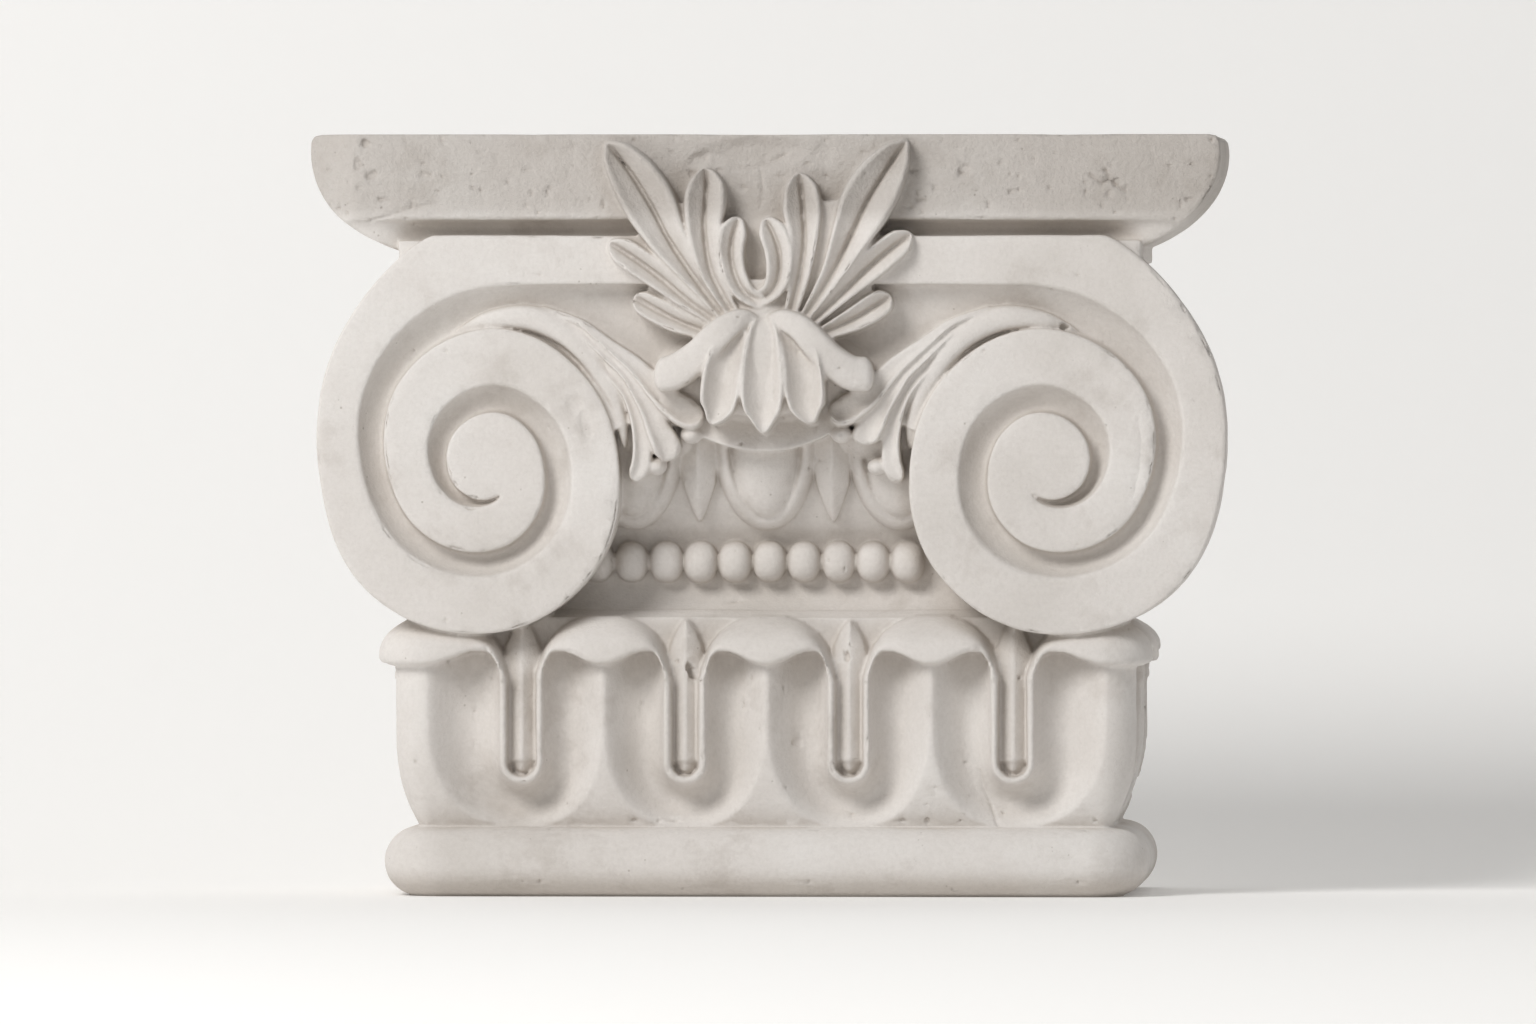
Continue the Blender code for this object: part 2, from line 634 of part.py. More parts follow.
def half_leaves():
    """Each half leaf right of the middle: the place of its dart, which way it goes, and its flute's far edge."""
    first, second = FIRST_DARTS
    third, fourth = SIDE_DARTS
    plain = FLUTE_HALF
    return ((first, -1, plain), (first, 1, plain), (second, -1, plain), (second, 1, CORNER_FLUTE),
            (third, -1, CORNER_FLUTE), (third, 1, plain), (fourth, -1, plain), (fourth, 1, plain))


def from_dart(s):
    """Distance from the nearest dart's middle, as on a plain leaf."""
    s = abs(s)
    gap, half = min((abs(s - dart), half) for dart, way, half in half_leaves() if way * (s - dart) >= 0)
    return min(shrunk(gap, half), FLUTE_HALF)


def frieze_column(s):
    """The points of one upright line of the frieze, from its foot to the neck."""
    x, d, nx, nd = on_plan(s + LEAF_SHIFT, FRIEZE_HALF, FRIEZE_FACE, FRIEZE_CORNER)
    p = from_dart(s)
    q = FLUTE_HALF - p
    rows = [(z, leaf_relief(p, z) + envelope(z)) for z in LOW_ROWS]
    if p > GAP_HALF:
        lip, top = lip_line(q), hood_top(q)
        side = clamp((p - GAP_HALF) / 12) ** 0.5
        bulge = HOOD_BULGE * side * (0.45 + 0.55 * math.cos(math.pi * q / (2 * FLUTE_HALF)) ** 2)
        rows += [(lip - 0.8, leaf_relief(p, lip)), (lip, bulge), (blend(lip, top, 0.4), bulge * 1.05),
                 (blend(lip, top, 0.8), -2.5 * side), (top, -10), (top + 0.6, behind(p, top + 0.6))]
    else:
        rows += [(z, behind(p, z)) for z in (104, 110, 116, 122, 128, 134)]
    rows.append((FRIEZE_TOP, NECK_DEPTH - (NECK_RETURN if abs(s) < MOULDING_HALF else 0)))
    return [(x + nx * out, d + nd * out, z) for z, out in rows]


def column_places():
    """Distances along the plan line, closer together where the carving is sharp."""
    straight = FRIEZE_HALF - FRIEZE_CORNER
    length = straight + math.pi * FRIEZE_CORNER / 2 + FRIEZE_FACE - FRIEZE_CORNER
    places = {0.0, FIRST_DARTS[1] + CORNER_LEAF}
    for dart, way, half in half_leaves():
        steps = COLUMNS if dart < FRIEZE_HALF else SIDE_COLUMNS
        places.add(dart)
        places.add(round(dart + way * half, 3))
        places |= {round(dart + way * stretched(step, half), 3) for step in steps}
    inside = sorted(p for p in places if 0 <= p < length - 3)
    left = [-p for p in reversed(inside[1:])]
    return [-length - LEAF_SHIFT] + left + inside + [length - LEAF_SHIFT]


def make_frieze(pieces):
    columns = [frieze_column(s) for s in column_places()]
    bm = bmesh.new()
    grid = [[bm.verts.new(at(*p)) for p in column] for column in columns]
    for left, right in zip(grid, grid[1:]):
        for low in range(len(left) - 1):
            bm.faces.new((left[low], right[low], right[low + 1], left[low + 1]))
    bm.faces.new([column[0] for column in grid])
    bm.faces.new([column[-1] for column in grid])
    for low in range(len(grid[0]) - 1):
        bm.faces.new((grid[0][low], grid[0][low + 1], grid[-1][low + 1], grid[-1][low]))
    return add_mesh("frieze", bm, pieces)


def make_roll(pieces):
    """The base roll: rounded plan rings stacked up a half-round profile."""
    radius = ROLL_HEIGHT / 2
    profile = [(0, -ROLL_FOOT)]
    for i in range(9):
        angle = math.radians(blend(-72, 90, i / 8))
        profile.append((radius + radius * math.sin(angle), -radius * (1 - math.cos(angle))))
    profile[-1] = (ROLL_HEIGHT, -radius - 4)
    length = ROLL_HALF - ROLL_CORNER + math.pi * ROLL_CORNER / 2 + ROLL_FACE - ROLL_CORNER
    straight, quarter = ROLL_HALF - ROLL_CORNER, math.pi * ROLL_CORNER / 2
    places = [0] + [straight + quarter * i / 5 for i in range(6)] + [length]
    places = [-p for p in reversed(places[1:])] + places
    rings = []
    for z, out in profile:
        ring = []
        for s in places:
            x, d, nx, nd = on_plan(s, ROLL_HALF, ROLL_FACE, ROLL_CORNER)
            ring.append((x + nx * out, max(d + nd * out, 0), z))
        rings.append(ring)
    return loft("base_roll", rings, pieces)


def make_neck(pieces):
    """The plain core behind the volutes and the mouldings."""
    for name, (half, front, bottom, top) in CORES.items():
        box(name, (-half, 0, bottom), (half, front, top), pieces)


def stone_material():
    material = bpy.data.materials.new("limestone")
    material.use_nodes = True
    shader = material.node_tree.nodes["Principled BSDF"]
    shader.inputs["Base Color"].default_value = STONE
    shader.inputs["Roughness"].default_value = 0.85
    shader.inputs["Metallic"].default_value = 0.0
    return material


def main():
    clear_scene()
    finished = new_collection("ionic_capital")
    pieces = new_collection("carving")
    cutters = new_collection("cutters")
    grooves = new_collection("grooves")
    capital = front_plate(finished)
    for side in (-1, 1):
        groove_cutter(side, grooves)
        make_bolster(side, pieces)
    make_abacus(pieces, cutters)
    make_palmette(pieces)
    make_flower(pieces)
    make_half_palmettes(pieces)
    make_mouldings(pieces)
    make_neck(pieces)
    make_frieze(pieces)
    make_roll(pieces)
    # The exact solver leaves both of these empty
    boolean(capital, "DIFFERENCE", grooves, "MANIFOLD")
    boolean(capital, "UNION", pieces, "MANIFOLD")
    capital.data.materials.append(stone_material())


main()
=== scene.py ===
"""The finished look of the pilaster capital: the block of the solid again, carved finer, worn, in limestone.

Sizes are in millimetres. The letter x runs along the front, z is up, and d is the distance of a
point in front of the flat back. Shapes are built in those units and turned into metres at the end.
"""

import math

import bmesh
import bpy
import numpy as np
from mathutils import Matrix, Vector

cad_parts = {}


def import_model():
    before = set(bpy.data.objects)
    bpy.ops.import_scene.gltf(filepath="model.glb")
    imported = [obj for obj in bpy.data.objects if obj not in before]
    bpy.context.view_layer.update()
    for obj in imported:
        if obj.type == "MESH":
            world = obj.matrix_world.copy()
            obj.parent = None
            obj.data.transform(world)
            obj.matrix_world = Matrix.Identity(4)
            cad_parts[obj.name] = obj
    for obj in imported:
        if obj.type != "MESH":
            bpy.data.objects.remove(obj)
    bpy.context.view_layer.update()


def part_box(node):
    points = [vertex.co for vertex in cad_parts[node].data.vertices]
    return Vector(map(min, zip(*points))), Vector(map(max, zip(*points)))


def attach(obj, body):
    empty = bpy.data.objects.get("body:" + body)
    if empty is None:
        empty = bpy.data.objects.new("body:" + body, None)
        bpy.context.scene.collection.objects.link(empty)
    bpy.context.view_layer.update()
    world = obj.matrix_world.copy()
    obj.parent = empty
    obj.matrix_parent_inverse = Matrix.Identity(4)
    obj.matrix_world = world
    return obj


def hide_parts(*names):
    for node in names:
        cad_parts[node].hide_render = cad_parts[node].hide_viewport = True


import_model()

MM = 0.001
LOW, HIGH = (np.array(corner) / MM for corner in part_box("capital"))
HEIGHT = HIGH[2] - LOW[2]
BACK_Y = HIGH[1]
FACE = 180.0  # plane of the volutes
ABACUS_FACE = 178.0
ABACUS_HALF = 228.0
MIDDLE_X = -LOW[0] - ABACUS_HALF  # the right volute reaches past the abacus

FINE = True
VOXEL = 0.75 if FINE else 1.5
MOST_TRIANGLES = 190000 if FINE else 90000

# Abacus
OVOLO_CENTRE, OVOLO_HEIGHT, OVOLO_BOTTOM = (150.0, 372.0), 54.0, 320.5
SOFFIT_TOP, SOFFIT_BOTTOM, SOFFIT_DEPTH = 338.4, 312.0, 13.4
SOFFIT_FADE = (165.0, 198.0)  # where along the front the recess under the abacus grows shallower
WORN_CORNER, WORN_SHAPE = 24.0, 1.5
FILLET = (182.5, 188.8, 317.0, 328.0)  # reach to the left and right, bottom and top
FILLET_FACE, FILLET_ENDS = 155.0, (12.0, 14.0)

# Volutes: radii of both edges of the band at each eighth of a turn, from the top
EYE_X = {-1: -134.5, 1: 138.5}
EYE_Z = 213.5
SPREAD = {-1: 1.01, 1: 1.055}
BAND_TOP, BAND_BOTTOM = 331.5, 306.0
EASE = 1.3  # how softly, in mm, the volutes' outline runs into the straight top of the band
BAND_OUTER = (128, 103.5, 87, 87.5, 81.5, 70.5, 62, 65, 70.5, 64.5, 53, 47, 40, 30.5, 25, 26, 29,
              27.3, 23, 18.5, 14, 9)
BAND_INNER = (92, 80, 65.5, 59.5, 53, 44.5, 38.5, 39.8, 42.5, 39, 31.5, 24.5, 16.5, 9.5)
GROOVE_START, GROOVE_DEPTH = 12.0, 10.0
CHANNEL_DEPTH = 14.0
PLATE_BACK = 146.0
PLATE_TURNS = 0.80  # how far round each volute the outline of the plate runs
PLATE_WAIST = (62, 240)  # where the outline turns from the lip up to the volute, as x and z
# The half bolster: how far out from the back, and its share of the volute's size there
BOLSTER = ((165, 0.985), (140, 0.98), (122, 0.955), (105, 0.93), (82, 0.89), (60, 0.86), (30, 0.83),
           (0, 0.82))
LIP_BOTTOM, LIP_HALF, LIP_RISE = 222.5, 38.5, 12.0

# Leaf frieze
LEAF_PITCH = 82.0
LEAF_SHIFT = 1.5
CORNER_LEAF, CORNER_FLUTE = 57.4, 47.5
FRIEZE_HALF, FRIEZE_FACE, FRIEZE_CORNER = 187.0, 172.0, 20.0
FRIEZE_BOTTOM, FRIEZE_TOP = 28.0, 143.0
GAP_HALF, GAP_CENTRE, RIM_WIDTH = 6.8, 67.0, 3.9
CREST = GAP_HALF + RIM_WIDTH
FLUTE_HALF = LEAF_PITCH / 2
FLUTE_TOP, FLUTE_BOTTOM, FLUTE_SHAPE, FLUTE_DEPTH = 90.0, 34.0, 2.4, 15.0
FLUTE_LEAN = 0.68  # below 1, a flute is deepest nearer to its rim than to the midrib
GAP_DEPTH, DART_DEPTH, DART_SLOPE, NECK_DEPTH = 11.5, 4.5, 5.0, 18.5
NECK_START, SIDE_DEPTH = 138.5, 19.0  # where the front falls back to the neck, and how deep a side may go
HEAD_HALF, HEAD_LOW, HEAD_TIP = 8.8, 124.0, 138.8
FOOT_DRAW, FOOT_DRAW_FROM = 14.0, 88.0
HOOD_HALF, HOOD_BASE, HOOD_TOP, HOOD_BULGE = 34.2, 107.3, 141.0, 7.2
LIP_LOW, LIP_ARCH, LIP_ARCH_AT = 116.0, 123.0, 23.0

# Base roll
ROLL_HALF, ROLL_FACE, ROLL_HEIGHT, ROLL_CORNER, ROLL_FOOT = 191.5, 176.0, 34.5, 30.0, 13.0


# Small helpers on arrays


def blend(a, b, f):
    return a + (b - a) * f


def clip(value, low=0.0, high=1.0):
    return np.clip(value, low, high)


def step(low, high, value):
    """0 below low, 1 above high, and smooth in between."""
    f = clip((value - low) / (high - low))
    return f * f * (3 - 2 * f)


def spline(values, places):
    """The Catmull-Rom curve through evenly spaced values, at places counted in steps."""
    values = np.asarray(values, float)
    places = np.atleast_1d(np.asarray(places, float))
    last = len(values) - 1
    first = np.minimum(places.astype(int), last - 1)
    f = places - first
    if values.ndim > 1:
        f = f[:, None]
    a, b, c, e = (values[np.clip(first + k, 0, last)] for k in (-1, 0, 1, 2))
    return b + 0.5 * f * (c - a + f * (2 * a - 5 * b + 4 * c - e + f * (3 * b - a - 3 * c + e)))


def world(points):
    """(x, d, z) in mm as the frame has it, still in mm."""
    points = np.asarray(points, float)
    return np.stack([points[..., 0] - MIDDLE_X, BACK_Y - points[..., 1], points[..., 2]], -1)


# Closed shapes, gathered in a list and fused later


def loft(rings):
    """The closed shape through rings of equally many points, each (x, d, z)."""
    rings = np.asarray(rings, float)
    rows, count = rings.shape[:2]
    index = np.arange(rows * count).reshape(rows, count)
    turned = np.roll(index, -1, axis=1)
    quads = np.stack([index[:-1], turned[:-1], turned[1:], index[1:]], -1).reshape(-1, 4)
    faces = quads.tolist() + [index[0][::-1].tolist(), index[-1].tolist()]
    return world(rings.reshape(-1, 3)), faces


def prism_d(outline, d0, d1):
    """An outline of (x, z) points run from d0 to d1."""
    outline = np.asarray(outline, float)
    return loft([np.stack([outline[:, 0], np.full(len(outline), d), outline[:, 1]], -1) for d in (d0, d1)])


def prism_x(section, x0, x1):
    """A section of (d, z) points run along X."""
    section = np.asarray(section, float)
    return loft([np.concatenate([np.full((len(section), 1), x), section], 1) for x in (x0, x1)])


def box(low, high):
    (x0, d0, z0), (x1, d1, z1) = low, high
    return prism_d([(x0, z0), (x1, z0), (x1, z1), (x0, z1)], d0, d1)


def ball(centre, size, segments=32, rings=20, fullness=1.0):
    """An ellipsoid at an (x, d, z) centre with its full sizes, squarer where fullness is under 1."""
    rows = []
    for i in range(rings + 1):
        up = math.pi * blend(0.02, 0.98, i / rings) - math.pi / 2
        turn = 2 * np.pi * np.arange(segments) / segments
        unit = np.stack([np.cos(turn) * math.cos(up), np.sin(turn) * math.cos(up),
                         np.full(segments, math.sin(up))], -1)
        unit = np.sign(unit) * np.abs(unit) ** fullness
        rows.append(np.array(centre) + unit * np.array(size) / 2)
    return loft(rows)


def mesh_object(name, shapes):
    """One mesh object, not linked to the scene, that holds several closed shapes."""
    points, faces, offset = [], [], 0
    for shape_points, shape_faces in shapes:
        points.append(shape_points)
        faces += [[offset + i for i in face] for face in shape_faces]
        offset += len(shape_points)
    mesh = bpy.data.meshes.new(name)
    mesh.from_pydata(np.concatenate(points).tolist(), [], faces)
    mesh.update()
    return bpy.data.objects.new(name, mesh)


def outward(obj):
    """Turns the faces of a closed mesh outwards."""
    bm = bmesh.new()
    bm.from_mesh(obj.data)
    bmesh.ops.recalc_face_normals(bm, faces=bm.faces)
    bm.to_mesh(obj.data)
    bm.free()
    return obj


def evaluated(obj):
    """A copy of the object's mesh with its modifiers applied."""
    bpy.context.scene.collection.objects.link(obj)
    graph = bpy.context.evaluated_depsgraph_get()
    mesh = bpy.data.meshes.new_from_object(obj.evaluated_get(graph))
    bpy.data.objects.remove(obj)
    return mesh


def arrays(mesh):
    """Points, and faces cut into triangles."""
    mesh.calc_loop_triangles()
    points = np.empty(len(mesh.vertices) * 3, np.float32)
    mesh.vertices.foreach_get("co", points)
    faces = np.empty(len(mesh.loop_triangles) * 3, np.int32)
    mesh.loop_triangles.foreach_get("vertices", faces)
    return points.reshape(-1, 3).astype(float), faces.reshape(-1, 3)


def carved(blank, cutters):
    """A closed shape less some others, as another shape."""
    target = outward(mesh_object("blank", [blank]))
    removed = []
    for i, cutter in enumerate(cutters):
        tool = outward(mesh_object(f"cutter_{i}", [cutter]))
        bpy.context.scene.collection.objects.link(tool)
        modifier = target.modifiers.new("Cut", "BOOLEAN")
        modifier.operation, modifier.solver, modifier.object = "DIFFERENCE", "MANIFOLD", tool
        removed.append(tool)
    mesh = evaluated(target)
    for tool in removed:
        bpy.data.objects.remove(tool)
    points, faces = arrays(mesh)
    bpy.data.meshes.remove(mesh)
    return points, faces.tolist()


# Abacus


def soffit(x):
    """The ring of the soffit's cutter at x: a rounded arris over a recess, shallower towards the ends."""
    share = 1 - 0.62 * float(step(*SOFFIT_FADE, abs(x)))
    ring = [(ABACUS_FACE + 5, SOFFIT_TOP + 1.5), (ABACUS_FACE - 0.1, SOFFIT_TOP + 1.5),
            (ABACUS_FACE - 0.8, SOFFIT_TOP)]
    for turn in np.linspace(0.2, np.pi / 2, 9)[1:]:
        ring.append((ABACUS_FACE - SOFFIT_DEPTH * share * math.sin(turn),
                     SOFFIT_TOP - (5 + 13 * (1 - share)) * (1 - math.cos(turn))))
    ring += [(ABACUS_FACE - SOFFIT_DEPTH * share - 1, SOFFIT_BOTTOM), (ABACUS_FACE + 5, SOFFIT_BOTTOM)]
    return [(x, d, z) for d, z in ring]


def worn_corner():
    """The cutter that rounds the left corner of the abacus, over its whole height."""
    r = WORN_CORNER
    plan = [(-ABACUS_HALF - 4, ABACUS_FACE + 4), (-ABACUS_HALF - 4, ABACUS_FACE - r - 2)]
    for t in np.linspace(0, np.pi / 2, 12):
        plan.append((-ABACUS_HALF + r - r * abs(math.cos(t)) ** WORN_SHAPE,
                     ABACUS_FACE - r + r * math.sin(t) ** WORN_SHAPE))
    plan.append((-ABACUS_HALF + r + 2, ABACUS_FACE + 4))
    return loft([[(x, d, z) for x, d in plan] for z in (SOFFIT_BOTTOM - 2, HEIGHT + 5)])


def fillet():
    """The course between the abacus and the volutes, which comes forward at both ends."""
    left, right, low, high = FILLET
    ends = ((-left, -left + FILLET_ENDS[0]), (right - FILLET_ENDS[1], right))
    return [box((-left, 0, low), (right, FILLET_FACE, high))] + [
        box((a, 100, low), (b, ABACUS_FACE - 1.5, high)) for a, b in ends]


def abacus():
    (cx, cz), tall = OVOLO_CENTRE, OVOLO_HEIGHT
    angles = np.linspace(math.asin((cz - HEIGHT + 3) / tall), math.asin((cz - OVOLO_BOTTOM) / tall), 40)
    arc = np.stack([cx + (ABACUS_HALF - cx) * np.cos(angles), cz - tall * np.sin(angles)], -1)
    arc = np.concatenate([[(arc[0, 0] - 5.5, HEIGHT), (arc[0, 0] - 1.8, HEIGHT - 0.8)], arc])
    blank = prism_d(np.concatenate([arc * (-1, 1), arc[::-1]]), 0, ABACUS_FACE)
    reach = ABACUS_HALF + 5
    under = loft([soffit(x) for x in np.linspace(-reach, reach, 60)])
    return [carved(blank, [under, worn_corner()])] + fillet()


# Volutes and the channel between them


def polar(side, turns, radius):
    """Points of a volute: turns from the top, outwards first, on the side -1 or 1."""
    angle = 2 * np.pi * np.asarray(turns)
    x = EYE_X[side] + side * SPREAD[side] * radius * np.sin(angle)
    z = EYE_Z + radius * np.cos(angle)
    return np.stack([x, -EASE * np.logaddexp(-z / EASE, -BAND_TOP / EASE)], -1)


def outer_radius(turns):
    return spline(BAND_OUTER, 8 * np.asarray(turns))


def inner_radius(turns):
    return spline(BAND_INNER, 8 * np.asarray(turns))


def bolster(side):
    """The half bolster behind a volute, drawn in towards the wall."""
    turns = np.linspace(0.03, 0.97, 90)
    edge = polar(side, turns, outer_radius(turns))
    eye = np.array([EYE_X[side], EYE_Z])
    rings = []
    for d, share in BOLSTER:
        ring = eye + (edge - eye) * share
        rings.append(np.stack([ring[:, 0], np.full(len(ring), d), ring[:, 1]], -1))
    return loft(rings)


def lip_height(x):
    return LIP_BOTTOM + LIP_RISE * (x / LIP_HALF) ** 2


def plate_blank():
    halves = {}
    for side in (-1, 1):
        x = np.linspace(0, LIP_HALF, 12)[1:]
        lip = np.stack([side * x, lip_height(x)], -1)
        turns = np.linspace(PLATE_TURNS, 0.04, 150)
        spiral = polar(side, turns, outer_radius(turns))
        waist = (side * PLATE_WAIST[0], PLATE_WAIST[1])
        halves[side] = np.concatenate([lip, [waist], spiral])
    outline = np.concatenate([halves[-1][::-1], [(0, lip_height(0))], halves[1]])
    return prism_d(outline, PLATE_BACK, FACE)


# Sections of the groove and the channel: (share of the width, share of the depth), from the band inwards
GROOVE_SECTION = ((0, 0.04), (0.05, 0.2), (0.13, 0.4), (0.27, 0.64), (0.43, 0.82), (0.58, 0.93), (0.72, 0.99),
                  (0.83, 1.0), (0.91, 0.95), (0.97, 0.72), (1, 0.3))
CHANNEL_SECTION = ((0, 0.5), (0.03, 0.8), (0.08, 0.95), (0.16, 1.0), (0.27, 1.0), (0.4, 0.97), (0.52, 0.9),
                   (0.66, 0.76), (0.8, 0.55), (0.92, 0.3), (1, 0.12))


def groove_ring(outer, inner, section):
    """One ring of the cutter between two (x, z) points, its floor given as (share, depth in mm)."""
    floor = [(blend(outer[0], inner[0], u), FACE - depth, blend(outer[1], inner[1], u))
             for u, depth in section]
    return floor + [(inner[0], FACE + 4, inner[1]), (outer[0], FACE + 4, outer[1])]


def groove(side):
    """The channel from the middle of the front, narrowing into the groove of the spiral."""
    rings = []
    stops = 26
    for i in range(stops):
        share = i / stops
        x_top = blend(-2, side * EYE_X[side], share ** 0.9)
        if share < 0.5:
            x_low = blend(-2, PLATE_WAIST[0], share / 0.5)
            inner = (side * x_low, lip_height(min(x_low, LIP_HALF)) - 8)
        else:
            turns = blend(PLATE_TURNS, 1.0, (share - 0.5) / 0.5)
            inner = polar(side, turns, outer_radius(turns))[0]
        weight = min(1.0, (1 - share) * 1.6)
        section = [(blend(g[0], c[0], weight), blend(GROOVE_START * g[1], CHANNEL_DEPTH * c[1], weight))
                   for g, c in zip(GROOVE_SECTION, CHANNEL_SECTION)]
        rings.append(groove_ring((side * x_top, BAND_BOTTOM), inner, section))
    last = (len(BAND_INNER) - 1) / 8
    count = 170
    for i in range(count):
        turns = last * i / (count - 1)
        left = 1 - turns / last
        depth = blend(GROOVE_START, GROOVE_DEPTH, min(1.0, turns * 4)) * max(0.08, min(1.0, left * 6))
        outer = polar(side, turns, inner_radius(turns) + (0.4 if left == 0 else 0))[0]
        inner = polar(side, turns, outer_radius(turns + 1))[0]
        rings.append(groove_ring(outer, inner, [(u, depth * h) for u, h in GROOVE_SECTION]))
    return loft(rings)


# Leaves, petals and lobes. A section is (share of the half width, share of the relief) across a leaf.
# A spine is (x, z, half width, d of the crest) along it, from its foot to its tip.

FOLD = ((-1, -1.5), (-0.985, -0.7), (-0.93, -0.2), (-0.84, 0), (-0.74, -0.08), (-0.6, -0.36), (-0.42, -0.62),
        (-0.22, -0.84), (-0.1, -0.95), (-0.05, -1.5), (0.05, -1.5), (0.1, -0.9), (0.22, -0.76), (0.42, -0.5),
        (0.6, -0.26), (0.74, -0.05), (0.84, 0), (0.93, -0.2), (0.985, -0.7), (1, -1.5))
SPOON = ((-1, -1.6), (-0.99, -0.8), (-0.95, -0.2), (-0.88, 0), (-0.8, -0.1), (-0.66, -0.5), (-0.46, -0.85),
         (-0.2, -1.08), (0, -1.12), (0.2, -1.04), (0.46, -0.78), (0.66, -0.45), (0.8, -0.1), (0.88, 0),
         (0.95, -0.2), (0.99, -0.8), (1, -1.6))
ROUND = ((-1, -1.6), (-0.96, -0.95), (-0.85, -0.55), (-0.68, -0.26), (-0.46, -0.1), (-0.2, -0.02), (0, 0),
         (0.2, -0.02), (0.46, -0.1), (0.68, -0.26), (0.85, -0.55), (0.96, -0.95), (1, -1.6))
WING = ((-1, -1.6), (-0.985, -0.95), (-0.93, -0.45), (-0.8, -0.14), (-0.55, -0.02), (-0.2, 0.0), (0.2, 0.0),
        (0.55, -0.04), (0.8, -0.18), (0.93, -0.5), (0.985, -0.95), (1, -1.6))
SWEEP = ((-1, -1.6), (-0.97, -0.8), (-0.9, -0.2), (-0.8, 0), (-0.7, -0.04), (-0.6, -0.28), (-0.42, -0.62),
         (-0.2, -0.84), (0.05, -0.92), (0.3, -0.9), (0.55, -0.82), (0.8, -0.8), (0.95, -1.05), (1, -1.6))

VEIN_HALF, VEIN_EDGE = 0.55, 1.3  # half width of the incision down a leaf, at its floor and its edge


def widened(section, half):
    """The section with its vein kept at the same width in mm on narrow leaves."""
    if len(section) != len(FOLD):
        return section
    section = section.copy()
    for shares, width in (((9, 10), VEIN_HALF), ((8, 11), VEIN_EDGE)):
        for k in shares:
            section[k, 0] = math.copysign(min(width / half, 0.3), section[k, 0])
    section[:8, 0] = np.minimum(section[:8, 0], section[8, 0] - 0.02)
    section[12:, 0] = np.maximum(section[12:, 0], section[11, 0] + 0.02)
    return section


def lobe(spine, section, relief, bottom, tip=0.16, stations=40, flip=1, steep=0.7):
    """A leaf along a spine, down to the depth called bottom, with a round tip on its last share."""
    t = np.linspace(0, 1, stations) ** 0.9
    path = spline(spine, t * (len(spine) - 1))
    run = np.gradient(path[:, :2], axis=0)
    run /= np.linalg.norm(run, axis=1)[:, None]
    half = np.maximum(path[:, 2], 0.4) * np.sqrt(clip((1 - t) / tip, 0.004, 1))
    droop = 3.0 * (1 - np.sqrt(clip((1 - t) / tip, 0.0, 1)))
    depth = np.minimum(relief, steep * half)
    plain = np.array(section, float) * (flip, 1)
    rings = []
    for i in range(stations):
        section = widened(plain, half[i])
        x = path[i, 0] + run[i, 1] * half[i] * section[:, 0]
        z = path[i, 1] - run[i, 0] * half[i] * section[:, 0]
        d = path[i, 3] - droop[i] + depth[i] * section[:, 1]
        top = np.stack([x, d, z], -1)
        ends = top[[-1, 0]].copy()
        ends[:, 1] = bottom
        rings.append(np.concatenate([top, ends]))
    return loft(rings)


PALMETTE_SHIFT = 2.6
LOBE_SHIFT = 1.5
LEAF_BACK = 158
PALMETTE = (
    ((-24, 280, 3.0, 186), (-43, 287, 5.8, 184), (-57, 294, 6.8, 183), (-67.5, 300, 5.5, 181)),
    ((-23, 286, 2.5, 187), (-40, 298, 4.5, 187), (-55, 310.5, 7, 187), (-69, 320.5, 7.5, 187),
     (-79.5, 327, 5.5, 185)),
    ((-20, 288, 2.5, 188), (-36, 309, 5.5, 190), (-49, 328, 10, 191), (-58, 345, 13.5, 191),
     (-67, 359.5, 12.4, 190), (-75.5, 371, 8, 189), (-80.5, 377, 3.5, 188)),
    ((-15, 289, 3, 189), (-23, 302, 4.5, 191), (-29, 316, 6.5, 192), (-31.5, 334, 9, 192),
     (-31, 347, 10.8, 192), (-30.5, 356, 9.5, 191), (-31, 364, 8, 190)),
    ((-3, 297, 4, 190), (-11, 302, 5, 192), (-16, 311, 6, 193), (-18, 321, 6.7, 193),
     (-17, 331, 7, 193), (-14, 339.5, 6, 192)),
    ((-5, 298, 4, 190), (2.5, 303, 5, 192), (6, 311.5, 6.5, 193), (6, 322, 7.2, 193),
     (3, 331.5, 7, 193), (-1, 339, 6, 192)),
    ((11, 289, 3, 189), (16, 309, 5.2, 191), (18.5, 327, 7, 192), (17.8, 342, 10, 192),
     (17, 352.5, 9, 191), (15.8, 361.5, 7, 190)),
    ((17, 287, 2.5, 188), (31, 309, 5.5, 190), (41, 329, 10, 191), (49, 346, 13.5, 191),
     (57, 359.5, 12.4, 190), (64.5, 371, 8, 189), (70, 378, 3.5, 188)),
    ((20, 285, 2.5, 187), (37.5, 302, 5, 187), (50.5, 314.5, 7.5, 187), (62.5, 324.5, 7.5, 187),
     (72, 331.5, 5.5, 185)),
    ((24, 280, 3, 186), (40.5, 287.5, 6, 184), (52.5, 294.5, 7.2, 183), (61.5, 300.5, 6, 181)),
)
SHOULDERS = (
    ((-5, 287, 3.5, 193), (-12, 288.5, 5.2, 198), (-19.3, 285, 6.6, 200.5), (-26.2, 279, 7.4, 200.5),
     (-33, 271.6, 8.0, 199), (-41.4, 265, 8.4, 197), (-49, 261.6, 8.6, 195.5), (-56.5, 261.6, 8.4, 194)),
    ((0.5, 287, 3.5, 193), (8, 288.2, 5.4, 198), (17, 284, 6.8, 200.5), (24.8, 275.8, 7.6, 200.5),
     (31.6, 268.4, 8.2, 199), (40, 262.6, 8.5, 197), (46, 261.3, 8.6, 195.5), (53, 261.8, 8.4, 194)),
)
